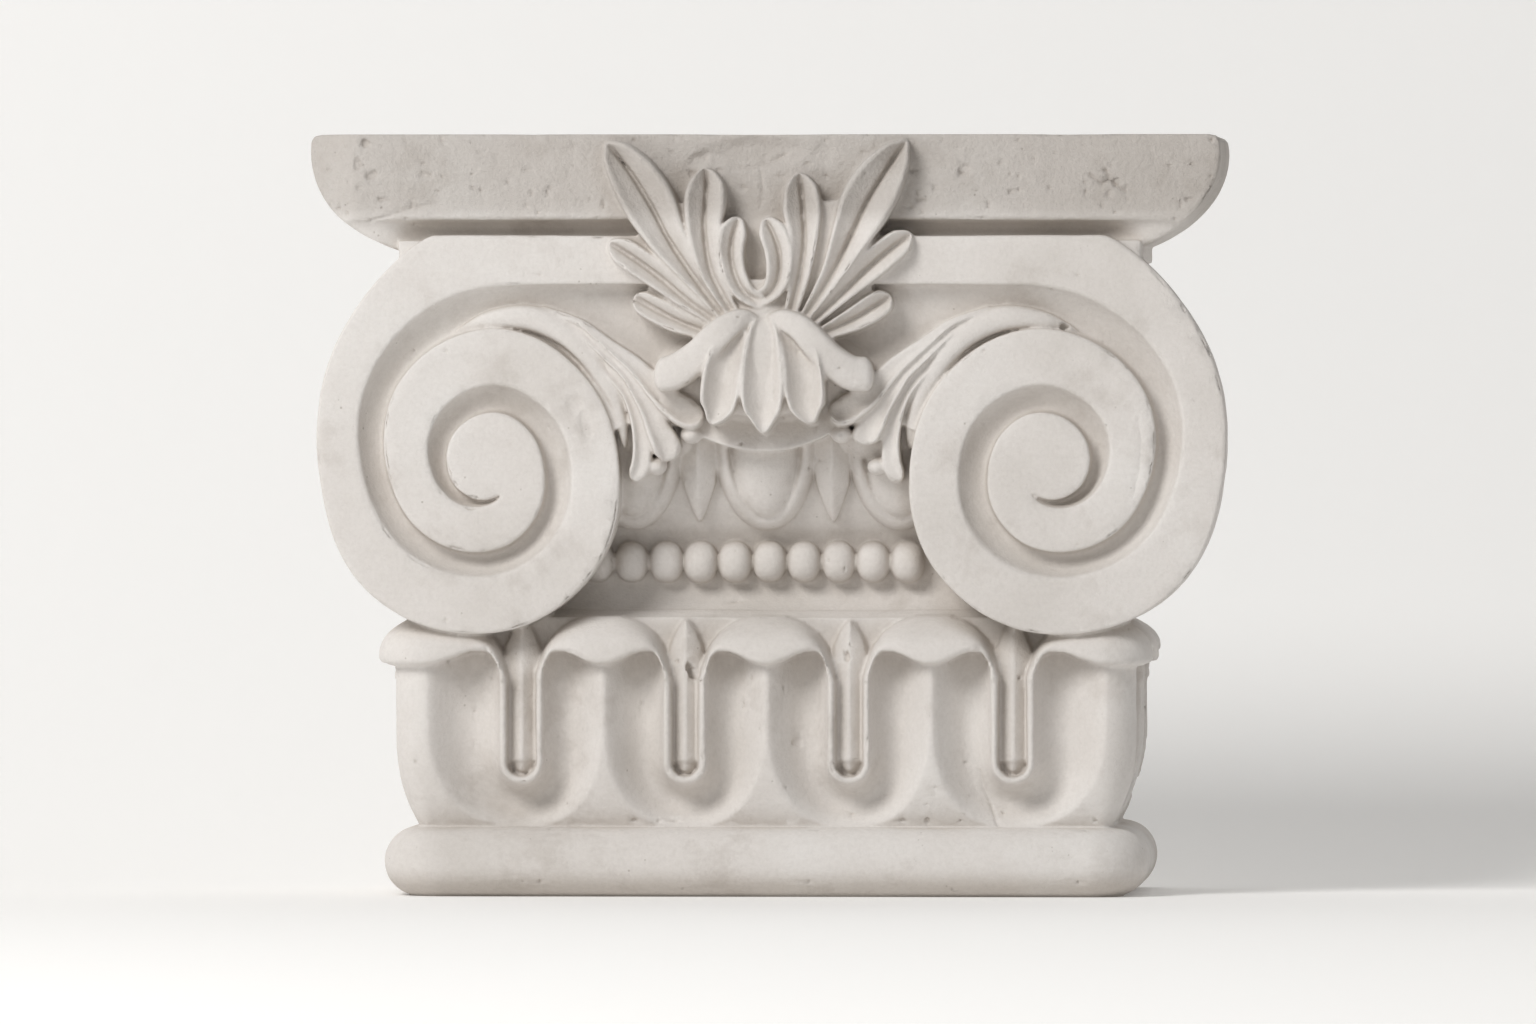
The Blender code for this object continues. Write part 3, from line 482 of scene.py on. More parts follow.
PETALS = (
    ((-13, 288.5, 4, 194.5), (-15.9, 283, 6.8, 197.5), (-18.4, 274.3, 8.8, 200.5), (-21.4, 263.1, 10, 202.3),
     (-23.2, 250.8, 9.9, 202.3), (-24.8, 243.2, 8.2, 201.2), (-28, 236.4, 5, 199)),
    ((8.5, 289, 4, 194.5), (11.7, 283, 6.8, 197.5), (15.8, 274.3, 9.0, 200.5), (18.3, 263.1, 10.0, 202.3),
     (19.3, 251.9, 10.2, 202.3), (20.5, 243.3, 8.3, 201.2), (22.9, 236.6, 5, 199)),
    ((-1.8, 289, 4, 195), (-1.6, 283.5, 7.2, 198.5), (-1.9, 271.3, 9.7, 201), (-1.9, 261, 10.8, 203),
     (-2, 249.8, 11, 203.4), (-1.8, 240.6, 8.6, 202), (-1.6, 231.4, 4.5, 199.5)),
)
BELL = ((-2.5, 291, 9, 190), (-2.5, 282, 19, 195.5), (-2.5, 265, 27, 196), (-2.5, 250, 26, 195),
        (-2.5, 240, 20, 189))
# The leaves over each volute: spine, section, and how much higher the tip ends on the right
HALF_PALMETTE = (
    (((159.5, 279, 0.8, 167), (153, 283, 1.8, 172), (146.3, 286, 2.8, 175), (138, 288.5, 4.3, 178),
      (124.5, 289.8, 5.8, 180), (113, 288, 6.5, 180.5), (100.5, 281.5, 6.2, 180.5), (90.5, 272, 5.6, 180),
      (82.5, 260.5, 4.8, 179), (76.5, 249.5, 3.8, 177.5), (72.5, 236.5, 3, 176), (71, 223.5, 2.4, 174)),
     ROUND, 0),
    (((112, 294.5, 0.8, 176), (101, 290.5, 1.4, 180), (91, 286, 1.9, 181.5), (78.5, 276, 3.0, 182.5),
      (65.3, 265.5, 4.6, 183), (54.8, 254, 6.0, 183.5), (47.5, 247, 7.0, 184), (38.3, 241.6, 7.8, 184),
      (31.3, 242.4, 6.2, 182)), SWEEP, 2),
    (((100, 289.5, 1.0, 178), (88.5, 279.5, 2.5, 181), (79, 270.5, 3.0, 182), (69.5, 261.3, 3.4, 182.5),
      (63, 251.5, 4.3, 183), (58, 243, 5.2, 183), (54, 233.5, 6.2, 183), (50, 225.5, 7.0, 182.5),
      (48.8, 218, 6.6, 181)), SWEEP, 8),
    (((86, 270.5, 1, 177), (77.5, 261.5, 2.6, 179.5), (69.3, 251.5, 3.2, 180), (64.4, 239.5, 4.0, 180),
      (62.3, 227, 4.6, 179.5), (63, 216, 4.9, 178), (67, 207.5, 4.2, 176)), SWEEP, 0),
)
# Rounded tips of the leaves behind, and the stone they lie on: x, d, z and full sizes
LOBE_TIPS = ((37.5, 171, 231.2, (11, 20, 9)), (55.3, 166, 215.2, (10.5, 18, 9)),
             (60, 156, 231, (52, 24, 26)))
# Stone behind the flower: x, d, z and full sizes
BOSSES = ((-3, 175, 290, (38, 32, 34)), (-2.5, 165, 261, (112, 30, 52)))


def moved(spine, shift, side=1):
    """A spine moved along X, and mirrored first where side is -1."""
    return np.array(spine) * (side, 1, 1, 1) + (shift, 0, 0, 0)


# Webs between neighbouring leaves of the palmette: a leaf and how far up it the web goes, twice
WEBS = ((0, 0.80, 1, 0.55), (1, 0.68, 2, 0.42), (2, 0.56, 3, 0.62), (3, 0.60, 4, 0.80), (4, 0.34, 5, 0.34),
        (5, 0.80, 6, 0.62), (6, 0.70, 7, 0.53), (7, 0.44, 8, 0.68), (8, 0.52, 9, 0.66))


WEB_SINK = 3.4  # how far a web lies behind the crests
WEB_REACH = 0.78  # how far across a leaf's half width a web starts


def web(first, first_end, second, second_end):
    """The stone left between two leaves, a little behind their rims."""
    t = np.linspace(0, 1, 16)
    a, b = (spline(PALMETTE[leaf], t * end * (len(PALMETTE[leaf]) - 1))
            for leaf, end in ((first, first_end), (second, second_end)))
    front = np.minimum(a[:, 3], b[:, 3]) - WEB_SINK
    apart = b[:, :2] - a[:, :2]
    gap = np.maximum(np.linalg.norm(apart, axis=1), 1e-6)
    inset = apart * np.minimum(WEB_REACH / gap, 0.96 / (a[:, 2] + b[:, 2]))[:, None]
    near = a[:, :2] + inset * a[:, 2:3]
    far = b[:, :2] - inset * b[:, 2:3]
    rings = [[(near[i, 0], front[i], near[i, 1]), (far[i, 0], front[i], far[i, 1]),
              (far[i, 0], LEAF_BACK, far[i, 1]), (near[i, 0], LEAF_BACK, near[i, 1])] for i in range(len(t))]
    return loft(np.array(rings) + (PALMETTE_SHIFT, 0, 0))


def palmette():
    forward = (0, 0, 0, 1.5)
    leaves = [lobe(moved(spine, PALMETTE_SHIFT) + forward, FOLD, 6.5, LEAF_BACK) for spine in PALMETTE]
    face = ABACUS_FACE + 0.8
    section = [(LEAF_BACK, 362.3), (face - 0.4, 362.3), (face, 340), (FACE + 1, 329), (FACE + 1, 296),
               (LEAF_BACK, 296)]
    plate = prism_x(section, PALMETTE_SHIFT - 30, PALMETTE_SHIFT + 17)
    return leaves + [web(*places) for places in WEBS] + [plate]


def flower():
    shapes = [lobe(moved(spine, PALMETTE_SHIFT), WING, 5.0, LEAF_BACK, tip=0.07) for spine in SHOULDERS]
    shapes += [ball((x + PALMETTE_SHIFT, d, z), size) for x, d, z, size in BOSSES]
    shapes.append(lobe(moved(BELL, PALMETTE_SHIFT), ROUND, 9.0, LEAF_BACK, tip=0.1))
    shapes += [lobe(moved(spine, PALMETTE_SHIFT), SPOON, 7.0, 170, tip=0.2) for spine in PETALS]
    return shapes


def half_palmettes():
    shapes = []
    for side in (-1, 1):
        for spine, section, lift in HALF_PALMETTE:
            spine = moved(spine, LOBE_SHIFT, side)
            if side > 0:
                spine[:, 1] += lift * np.linspace(0, 1, len(spine)) ** 3
            shapes.append(lobe(spine, section, 5.5, 146, tip=0.09, flip=side))
        shapes += [ball((side * x + LOBE_SHIFT, d, z), size) for x, d, z, size in LOBE_TIPS]
    return shapes


# Egg and dart, beads and neck

EGG_PITCH, EGG_HALF, EGG_TOP, EGG_DROP = 67.0, 20.0, 229.0, 39.2
EGG_CENTRE, EGG_DEPTH = 146.0, 34.0
RIM_HALF, RIM_DROP, RIM_RADIUS, RIM_FORE, RIM_LEAN = 22.2, 42.3, 3.7, 7.5, 1.6
DART_HALF, DART_TOP, DART_TIP = 8.3, 236.0, 187.5
DART_EDGE, DART_RIDGE = 4.6, 0.6  # how far its edges stand out, and the rise of its ridge to its half width
BEADS, BEAD_FIRST, BEAD_PITCH = 10, -85.4, 17.3
BEAD_DEPTH, BEAD_HEIGHT, BEAD_SIZE = 134.5, 167.0, (17.0, 21.0, 20.8)
NECK_FACE, NECK_TOP, COVE_DEPTH, COVE_HEIGHT = 131.0, 158.0, 22.5, 18.5
MOULDING_HALF = 150.0
# The section that the eggs lie on: how far out, and at what height
ECHINUS = ((152, 228), (149, 212), (143, 196), (137, 186), (133, 181), (131, 176))


def moulding_depth(z):
    """How far the egg moulding stands in front of the back at a height."""
    depths, heights = zip(*reversed(ECHINUS))
    return np.interp(z, heights, depths)


def egg(x):
    """An egg and the rim round it."""
    turn = np.linspace(0, np.pi, 60)
    px, pz = RIM_HALF * np.cos(turn), -RIM_DROP * np.sin(turn)
    normal = np.stack([np.cos(turn) / RIM_HALF, -np.sin(turn) / RIM_DROP], -1)
    normal /= np.linalg.norm(normal, axis=1)[:, None]
    around = 2 * np.pi * np.arange(16) / 16
    out, fore = RIM_RADIUS * np.cos(around), RIM_FORE * np.sin(around)
    out = out - RIM_LEAN * np.maximum(np.sin(around), 0)  # the crest lies towards the egg
    rings = np.stack([x + px[:, None] + out * normal[:, :1],
                      moulding_depth(EGG_TOP + pz)[:, None] + 1 + fore + 0 * px[:, None],
                      EGG_TOP + pz[:, None] + out * normal[:, 1:]], -1)
    return [ball((x, EGG_CENTRE, EGG_TOP), (2 * EGG_HALF, EGG_DEPTH, 2 * EGG_DROP), 48, 32), loft(rings)]


def dart(x):
    """A lance: straight sides, a point at the bottom and a ridge down the middle."""
    rings = []
    for z in np.linspace(DART_TOP, DART_TIP, 30):
        half = DART_HALF * min(1.0, ((z - DART_TIP + 0.4) / 20) ** 0.75)
        d = float(moulding_depth(z))
        edge, ridge = d + DART_EDGE, d + DART_EDGE + 1.2 + DART_RIDGE * half
        rings.append([(x - half, d - 6, z), (x + half, d - 6, z), (x + half, edge, z),
                      (x + half * 0.9, edge + 0.6, z), (x, ridge, z), (x - half * 0.9, edge + 0.6, z),
                      (x - half, edge, z)])
    return loft(rings)


def mouldings():
    turn = np.linspace(0, np.pi / 2, 9)
    cove = [(NECK_FACE + COVE_DEPTH * (1 - math.cos(t)), NECK_TOP - COVE_HEIGHT * math.sin(t)) for t in turn]
    section = [(0, 240), (152, 240)] + list(ECHINUS) + cove + [(153, 120), (0, 120)]
    shapes = [prism_x(section, -MOULDING_HALF, MOULDING_HALF)]
    for i in (-1, 0, 1):
        shapes += egg(i * EGG_PITCH)
    shapes += [dart(i * EGG_PITCH) for i in (-0.5, 0.5)]
    for i in range(BEADS):
        centre = (BEAD_FIRST + BEAD_PITCH * i, BEAD_DEPTH, BEAD_HEIGHT)
        shapes.append(ball(centre, BEAD_SIZE, fullness=0.86))
    return shapes


# Leaf frieze


def stretched(p, half):
    """A distance from a dart's middle on a plain leaf, carried over to a leaf of another half width."""
    return np.where(p <= CREST, p, CREST + (p - CREST) * (half - CREST) / (FLUTE_HALF - CREST))


def shrunk(p, half):
    """The reverse of stretched."""
    return np.where(p <= CREST, p, CREST + (p - CREST) * (FLUTE_HALF - CREST) / (half - CREST))


def half_leaves():
    """Each half leaf right of the middle: the place of its dart, which way it goes, and its width."""
    first, second = FLUTE_HALF, 3 * FLUTE_HALF
    third = second + 2 * CORNER_LEAF
    fourth = third + LEAF_PITCH
    return ((first, -1, FLUTE_HALF), (first, 1, FLUTE_HALF),
            (second, -1, FLUTE_HALF), (second, 1, CORNER_FLUTE),
            (third, -1, CORNER_FLUTE), (third, 1, FLUTE_HALF),
            (fourth, -1, FLUTE_HALF), (fourth, 1, FLUTE_HALF))


def from_dart(s):
    """Distance from the nearest dart's middle, as on a plain leaf."""
    s = np.abs(s)
    best = np.full(s.shape, 1e9)
    found = np.full(s.shape, FLUTE_HALF)
    for place, way, half in half_leaves():
        gap = way * (s - place)
        nearer = (gap >= 0) & (gap < best)
        best = np.where(nearer, gap, best)
        found = np.where(nearer, shrunk(gap, half), found)
    return np.minimum(found, FLUTE_HALF)


def on_plan(s, half, front, radius):
    """Position and outward direction at the distance s along a plan line from the middle of the front."""
    side = np.where(s < 0, -1.0, 1.0)
    s = np.abs(s)
    straight, quarter = half - radius, math.pi * radius / 2
    angle = clip((s - straight) / radius, 0, math.pi / 2)
    back = np.maximum(s - straight - quarter, 0)
    nx, nd = np.sin(angle), np.cos(angle)
    x = np.minimum(s, straight) + radius * nx
    return side * x, front - radius + radius * nd - back, side * nx, nd


def behind(p, z):
    """Relief of the dart and the gap at p from the dart's middle."""
    half = blend(GAP_HALF, HEAD_HALF, clip((z - 103) / 18))
    tip = clip((HEAD_TIP - z) / (HEAD_TIP - HEAD_LOW)) ** 0.62
    half = np.maximum(np.where(z > HEAD_LOW, HEAD_HALF * tip, half), 1e-6)
    floor = -blend(GAP_DEPTH, NECK_DEPTH, clip((z - 112) / 16)) - 2.6 * np.maximum(z - NECK_START, 0)
    ridge = -DART_DEPTH - 6 * clip((z - 116) / 24)
    share = clip(p / half)
    dart_front = ridge - DART_SLOPE * share - step(0.85, 1.0, share)
    return np.where(p >= half, floor, np.maximum(floor, dart_front))


def flute_reach(p, z, below):
    """Distance from the middle of the gap's round end, through a point, to the far edge of the flute."""
    turn = np.linspace(0, np.pi / 2, 80)
    drop = FLUTE_TOP - FLUTE_BOTTOM
    edge_p = FLUTE_HALF * np.cos(turn) ** (2 / FLUTE_SHAPE)
    edge_z = FLUTE_TOP - drop * np.sin(turn) ** (2 / FLUTE_SHAPE)
    low = edge_z <= GAP_CENTRE
    slope = np.arctan2(GAP_CENTRE - edge_z[low], edge_p[low])
    around = np.interp(np.arctan2(below, p), slope, np.hypot(edge_p[low], GAP_CENTRE - edge_z[low]))
    across = FLUTE_HALF * (1 - clip((FLUTE_TOP - z) / drop) ** FLUTE_SHAPE) ** (1 / FLUTE_SHAPE)
    return np.where(below > 0, around, across)


def leaf_relief(p, z):
    """Relief below the hoods, p from the middle of a dart."""
    below = np.maximum(GAP_CENTRE - z, 0.0)
    reach = np.hypot(p, below)
    round_end = blend(-GAP_DEPTH, behind(p, z), clip((GAP_HALF - reach) / 2.5))
    gap = np.where(below == 0, behind(p, z), round_end)
    edge = flute_reach(p, z, below)
    share = clip((reach - CREST) / np.maximum(edge - CREST, 1e-6))
    flute = -FLUTE_DEPTH * np.sin(np.pi * share ** FLUTE_LEAN) ** (0.75 + 0.6 * share)
    u = clip((reach - GAP_HALF) / RIM_WIDTH)
    rim = 0.3 - 2.8 * (1 - np.sin(np.pi / 2 * clip(u / 0.5))) - 0.6 * clip(2 * u - 1) ** 2
    return np.where(reach < GAP_HALF, gap, np.where(reach <= CREST, rim, flute))


def hood_top(q):
    """The upper edge of a hood at q from the leaf's midrib."""
    return HOOD_BASE + (HOOD_TOP - HOOD_BASE) * np.sqrt(1 - clip(q / HOOD_HALF, 0, 0.999) ** 2.2)


def lip_line(q):
    """The lower edge of a hood at q from the leaf's midrib: a dip, two arches, then the rims."""
    arch = blend(LIP_LOW, LIP_ARCH, 0.5 - 0.5 * np.cos(np.pi * np.minimum(q, LIP_ARCH_AT) / LIP_ARCH_AT))
    share = clip((q - LIP_ARCH_AT) / (FLUTE_HALF - CREST - LIP_ARCH_AT))
    return np.where(q < LIP_ARCH_AT, arch, LIP_ARCH - 16 * (1 - np.sqrt(1 - share ** 2)))


def frieze_relief(p, z):
    """How far the frieze stands out from its face, with the hoods over the flutes."""
    q = FLUTE_HALF - p
    lip, top = lip_line(q), hood_top(q)
    draw_in = -FOOT_DRAW * clip((FOOT_DRAW_FROM - z) / (FOOT_DRAW_FROM - ROLL_HEIGHT)) ** 2.2
    low = leaf_relief(p, z) + draw_in
    side = clip((p - GAP_HALF) / 12) ** 0.5
    crown = np.cos(np.pi * np.minimum(q, FLUTE_HALF) / (2 * FLUTE_HALF)) ** 2
    bulge = HOOD_BULGE * side * (0.45 + 0.55 * crown)
    rise = clip((z - lip) / np.maximum(top - lip, 1e-6))
    hood = bulge - (bulge + 12) * rise ** 2.9 - 2.0 * (1 - clip(rise / 0.12)) ** 2
    relief = np.where((z >= lip) & (p > GAP_HALF), hood, low)
    relief = np.where((z > top) | ((p <= GAP_HALF) & (z > GAP_CENTRE)), behind(p, z), relief)
    return relief


def frieze():
    straight = FRIEZE_HALF - FRIEZE_CORNER
    length = straight + math.pi * FRIEZE_CORNER / 2 + FRIEZE_FACE - FRIEZE_CORNER
    pace = 1.0 if FINE else 2.0
    s = np.linspace(-length, length, int(2 * length / pace))
    z = np.concatenate([np.arange(FRIEZE_BOTTOM, FRIEZE_TOP, pace), [FRIEZE_TOP]])
    p = from_dart(s - LEAF_SHIFT)
    relief = frieze_relief(p[:, None] + 0 * z, z + 0 * p[:, None])
    relief = np.maximum(relief, np.where(np.abs(s) < MOULDING_HALF, -40, -SIDE_DEPTH)[:, None])
    x, d, nx, nd = (value[:, None] for value in on_plan(s, FRIEZE_HALF, FRIEZE_FACE, FRIEZE_CORNER))
    grid = np.stack([x + nx * relief, np.maximum(d + nd * relief, 0), z + 0 * x], -1)
    rings = np.swapaxes(grid, 0, 1)
    return loft(rings)


def base_roll():
    radius = ROLL_HEIGHT / 2
    angles = np.radians(np.linspace(-74, 90, 30))
    profile = [(0, -ROLL_FOOT)]
    profile += [(radius + radius * math.sin(a), -radius * (1 - math.cos(a))) for a in angles]
    length = ROLL_HALF - ROLL_CORNER + math.pi * ROLL_CORNER / 2 + ROLL_FACE - ROLL_CORNER
    s = np.linspace(-length, length, 260)
    x, d, nx, nd = on_plan(s, ROLL_HALF, ROLL_FACE, ROLL_CORNER)
    return loft([np.stack([x + nx * out, np.maximum(d + nd * out, 0), 0 * x + z], -1) for z, out in profile])


def cores():
    """Stone inside the block, so that no hollow is left between the shapes."""
    return [box((-165, 0, 100), (165, 128, BAND_TOP - 4)), box((-172, 0, 100), (172, 148, 140)),
            box((-158, 0, 232), (158, 151, BAND_TOP - 2))]


# Wear


def lattice_noise(points, seed):
    """Smooth noise from -1 to 1 at points counted in cells, the same on every run."""
    table = np.random.default_rng(seed).uniform(-1, 1, (32, 32, 32)).astype(np.float32)
    cell = np.floor(points).astype(np.int64)
    f = (points - cell).astype(np.float32)
    f = f * f * (3 - 2 * f)
    total = 0
    for corner in range(8):
        offset = np.array([corner & 1, corner >> 1 & 1, corner >> 2])
        weight = np.prod(np.where(offset, f, 1 - f), axis=1)
        i, j, k = ((cell + offset) & 31).T
        total = total + weight * table[i, j, k]
    return total


def noise(points, size, seed, octaves=2):
    """Noise whose largest lumps are about size mm across."""
    total = 0
    for octave in range(octaves):
        cells = points / (size / 2 ** octave) + 17.3 * octave
        total = total + lattice_noise(cells, seed + octave) / 2 ** octave
    return total


# Ragged dents in the front: (x, z, half width, half height, depth, turn in degrees)
DENTS = (
    (-199, 376.5, 2.6, 3.0, 1.6, 0), (-195, 361, 4, 2.2, 1.3, 20),
    (-203, 366, 2.4, 3.6, 1.2, 0), (150.5, 285, 2.4, 1.6, 2.6, 0), (-36.5, 112.5, 2.0, 4.6, 4.0, 15),
    (41, 120, 1.6, 2.6, 2.2, 0), (-121, 55, 1.3, 3.2, 1.6, -20), (-134, 116.5, 2.2, 1.6, 1.4, 30),
    (16, 77, 3.0, 2.6, 0.8, 0), (-95, 247, 5.0, 5.6, 0.7, 30), (-88, 235, 3.6, 8.0, 0.7, 12),
    (2.6, 309.5, 2.4, 5.2, 1.8, -30), (-57, 307, 3.6, 2.2, 1.6, 30), (100, 363, 3.2, 3.0, 1.2, 0),
    (176, 357, 2.6, 2.6, 1.3, 0), (124, 352, 2.2, 1.6, 1.0, 0),
)
# Cracks: runs of (x, z) with a depth
CRACKS = (
    (((-197, 338), (-188, 340), (-178, 343.5), (-166, 346)), 0.9),
    (((171, 364), (173, 358.5), (176, 356), (181, 352.5)), 1.3),
    (((163, 361), (169, 356.5), (172, 358)), 1.2),
    (((-1, 362), (0, 355), (-1, 345)), 0.6),
    (((-12, 364.5), (-4, 365), (7, 368.5), (11, 371)), 1.0),
    (((107, 63), (109, 55), (113, 46), (117, 35)), 0.7),
    (((187, 240), (189, 228), (188, 214), (185, 200)), 0.4),
)
# Smooth hollows knocked or rubbed out of the abacus: as the dents above
HOLLOWS = ((-4, 371.5, 36, 9.5, 2.6, 3), (-33, 368, 9, 5, 1.3, 35), (30, 371, 8, 8, 1.2, -20))


def segment_distance(x, z, a, b):
    run, rise = b[0] - a[0], b[1] - a[1]
    t = clip(((x - a[0]) * run + (z - a[1]) * rise) / (run * run + rise * rise))
    return np.hypot(x - a[0] - t * run, z - a[1] - t * rise)


def wear(points, normals, convex):
    """How far in each point goes, in mm, from its place, its normal and how convex it lies."""
    x, d, z = points[:, 0] + MIDDLE_X, BACK_Y - points[:, 1], points[:, 2]
    front = step(0.35, 0.8, -normals[:, 1])
    rough = (z > SOFFIT_TOP - 0.4) & (d > 150) & (d < 182)  # the face of the abacus
    depth = 0.30 * noise(points, 38, 1) + 0.12 * noise(points, 9, 3)
    depth = depth + rough * front * (0.32 * noise(points, 7.5, 7, 3))
    ragged = 0.35 * noise(points, 5, 11, 3)
    marks = [(mark, 1.0, 0.72) for mark in DENTS] + [(mark, 0.35, 0.25) for mark in HOLLOWS]
    for (cx, cz, a, b, deep, turn), rag, soft in marks:
        reach = 1.6 * max(a, b)
        close = (np.abs(x - cx) < reach) & (np.abs(z - cz) < reach)
        near = np.nonzero(close & (front > 0.1) & (d < 182))[0]
        c, s = math.cos(math.radians(turn)), math.sin(math.radians(turn))
        u, v = x[near] - cx, z[near] - cz
        away = np.hypot((u * c + v * s) / a, (v * c - u * s) / b) + rag * ragged[near]
        depth[near] += deep * front[near] * step(1.0, soft, away)
    for run, deep in CRACKS:
        low, high = np.min(run, axis=0) - 4, np.max(run, axis=0) + 4
        close = (x > low[0]) & (x < high[0]) & (z > low[1]) & (z < high[1])
        near = np.nonzero(close & (front > 0.3))[0]
        away = np.min([segment_distance(x[near], z[near], a, b) for a, b in zip(run, run[1:])], axis=0)
        depth[near] += deep * step(1.3, 0.2, away + 1.2 * np.abs(ragged[near]))
    # Small pits, more of them on the abacus and along the top of the base roll
    pits = noise(points, 4.2, 23, 1)
    amount = 0.86 - 0.14 * rough - 0.06 * (np.abs(z - ROLL_HEIGHT) < 5)
    depth = depth + 1.1 * step(amount, amount + 0.12, pits)
    depth = depth + 0.8 * rough * front * step(0.58, 0.78, noise(points, 3.0, 29, 1))
    # Nicks out of the arrises
    edge = step(0.10, 0.30, convex)
    nicks = step(0.35, 0.8, noise(points, 7, 31, 2))
    depth = depth + edge * (0.25 + 1.3 * nicks * step(0.0, 0.5, noise(points, 45, 37, 1) + 0.2))
    inside = (d < 1.0) | (z < 1.0)
    return np.where(inside, 0.0, np.maximum(depth, -0.25))


BED_SKIN = 0.6  # points this near the bottom bed or the back stay flat


def neighbours_mean(points, ends, count):
    total = np.stack([np.bincount(ends[:, 0], points[ends[:, 1], k], len(points)) for k in range(3)], -1)
    return total / count[:, None]


def vertex_normals(points, faces):
    corners = points[faces]
    cross = np.cross(corners[:, 1] - corners[:, 0], corners[:, 2] - corners[:, 0])
    flat = faces.reshape(-1)
    normals = np.stack([np.bincount(flat, np.repeat(cross[:, k], 3), len(points)) for k in range(3)], -1)
    return normals / np.maximum(np.linalg.norm(normals, axis=1), 1e-12)[:, None]


def soften_and_wear(mesh):
    """Rounds the arrises of the fused block, then wears it."""
    points, faces = arrays(mesh)
    ends = np.concatenate([faces[:, [0, 1]], faces[:, [1, 2]], faces[:, [2, 0]]])
    ends = np.unique(np.concatenate([ends, ends[:, ::-1]]), axis=0)
    count = np.bincount(ends[:, 0], minlength=len(points)).astype(float)
    fixed = points.copy()
    for _ in range(2):
        points = blend(points, neighbours_mean(points, ends, count), 0.5)
    normals = vertex_normals(points, faces)
    mean = points
    for _ in range(4):
        mean = blend(mean, neighbours_mean(mean, ends, count), 0.8)
    convex = np.einsum("ij,ij->i", points - mean, normals)
    points = points - normals * wear(points, normals, convex)[:, None]
    points[fixed[:, 2] < BED_SKIN, 2] = LOW[2]
    points[np.abs(fixed[:, 1] - HIGH[1]) < BED_SKIN, 1] = HIGH[1]
    points = np.clip(points, LOW, HIGH)
    mesh.vertices.foreach_set("co", (points * MM).astype(np.float32).reshape(-1))
    mesh.update()


def block():
    """The whole capital as one closed mesh in metres."""
    shapes = abacus() + [carved(plate_blank(), [groove(-1), groove(1)]), bolster(-1), bolster(1)]
    shapes += palmette() + flower() + half_palmettes() + mouldings() + cores()
    shapes += [frieze(), base_roll()]
    rough = outward(mesh_object("rough", shapes))
    remesh = rough.modifiers.new("Fuse", "REMESH")
    remesh.mode, remesh.voxel_size = "VOXEL", VOXEL
    mesh = evaluated(rough)
    soften_and_wear(mesh)
    worn = bpy.data.objects.new("worn", mesh)
    triangles = sum(len(face.vertices) - 2 for face in mesh.polygons)
    reduce = worn.modifiers.new("Reduce", "DECIMATE")
    reduce.ratio = min(1.0, MOST_TRIANGLES / triangles)
    return evaluated(worn)


# Stone


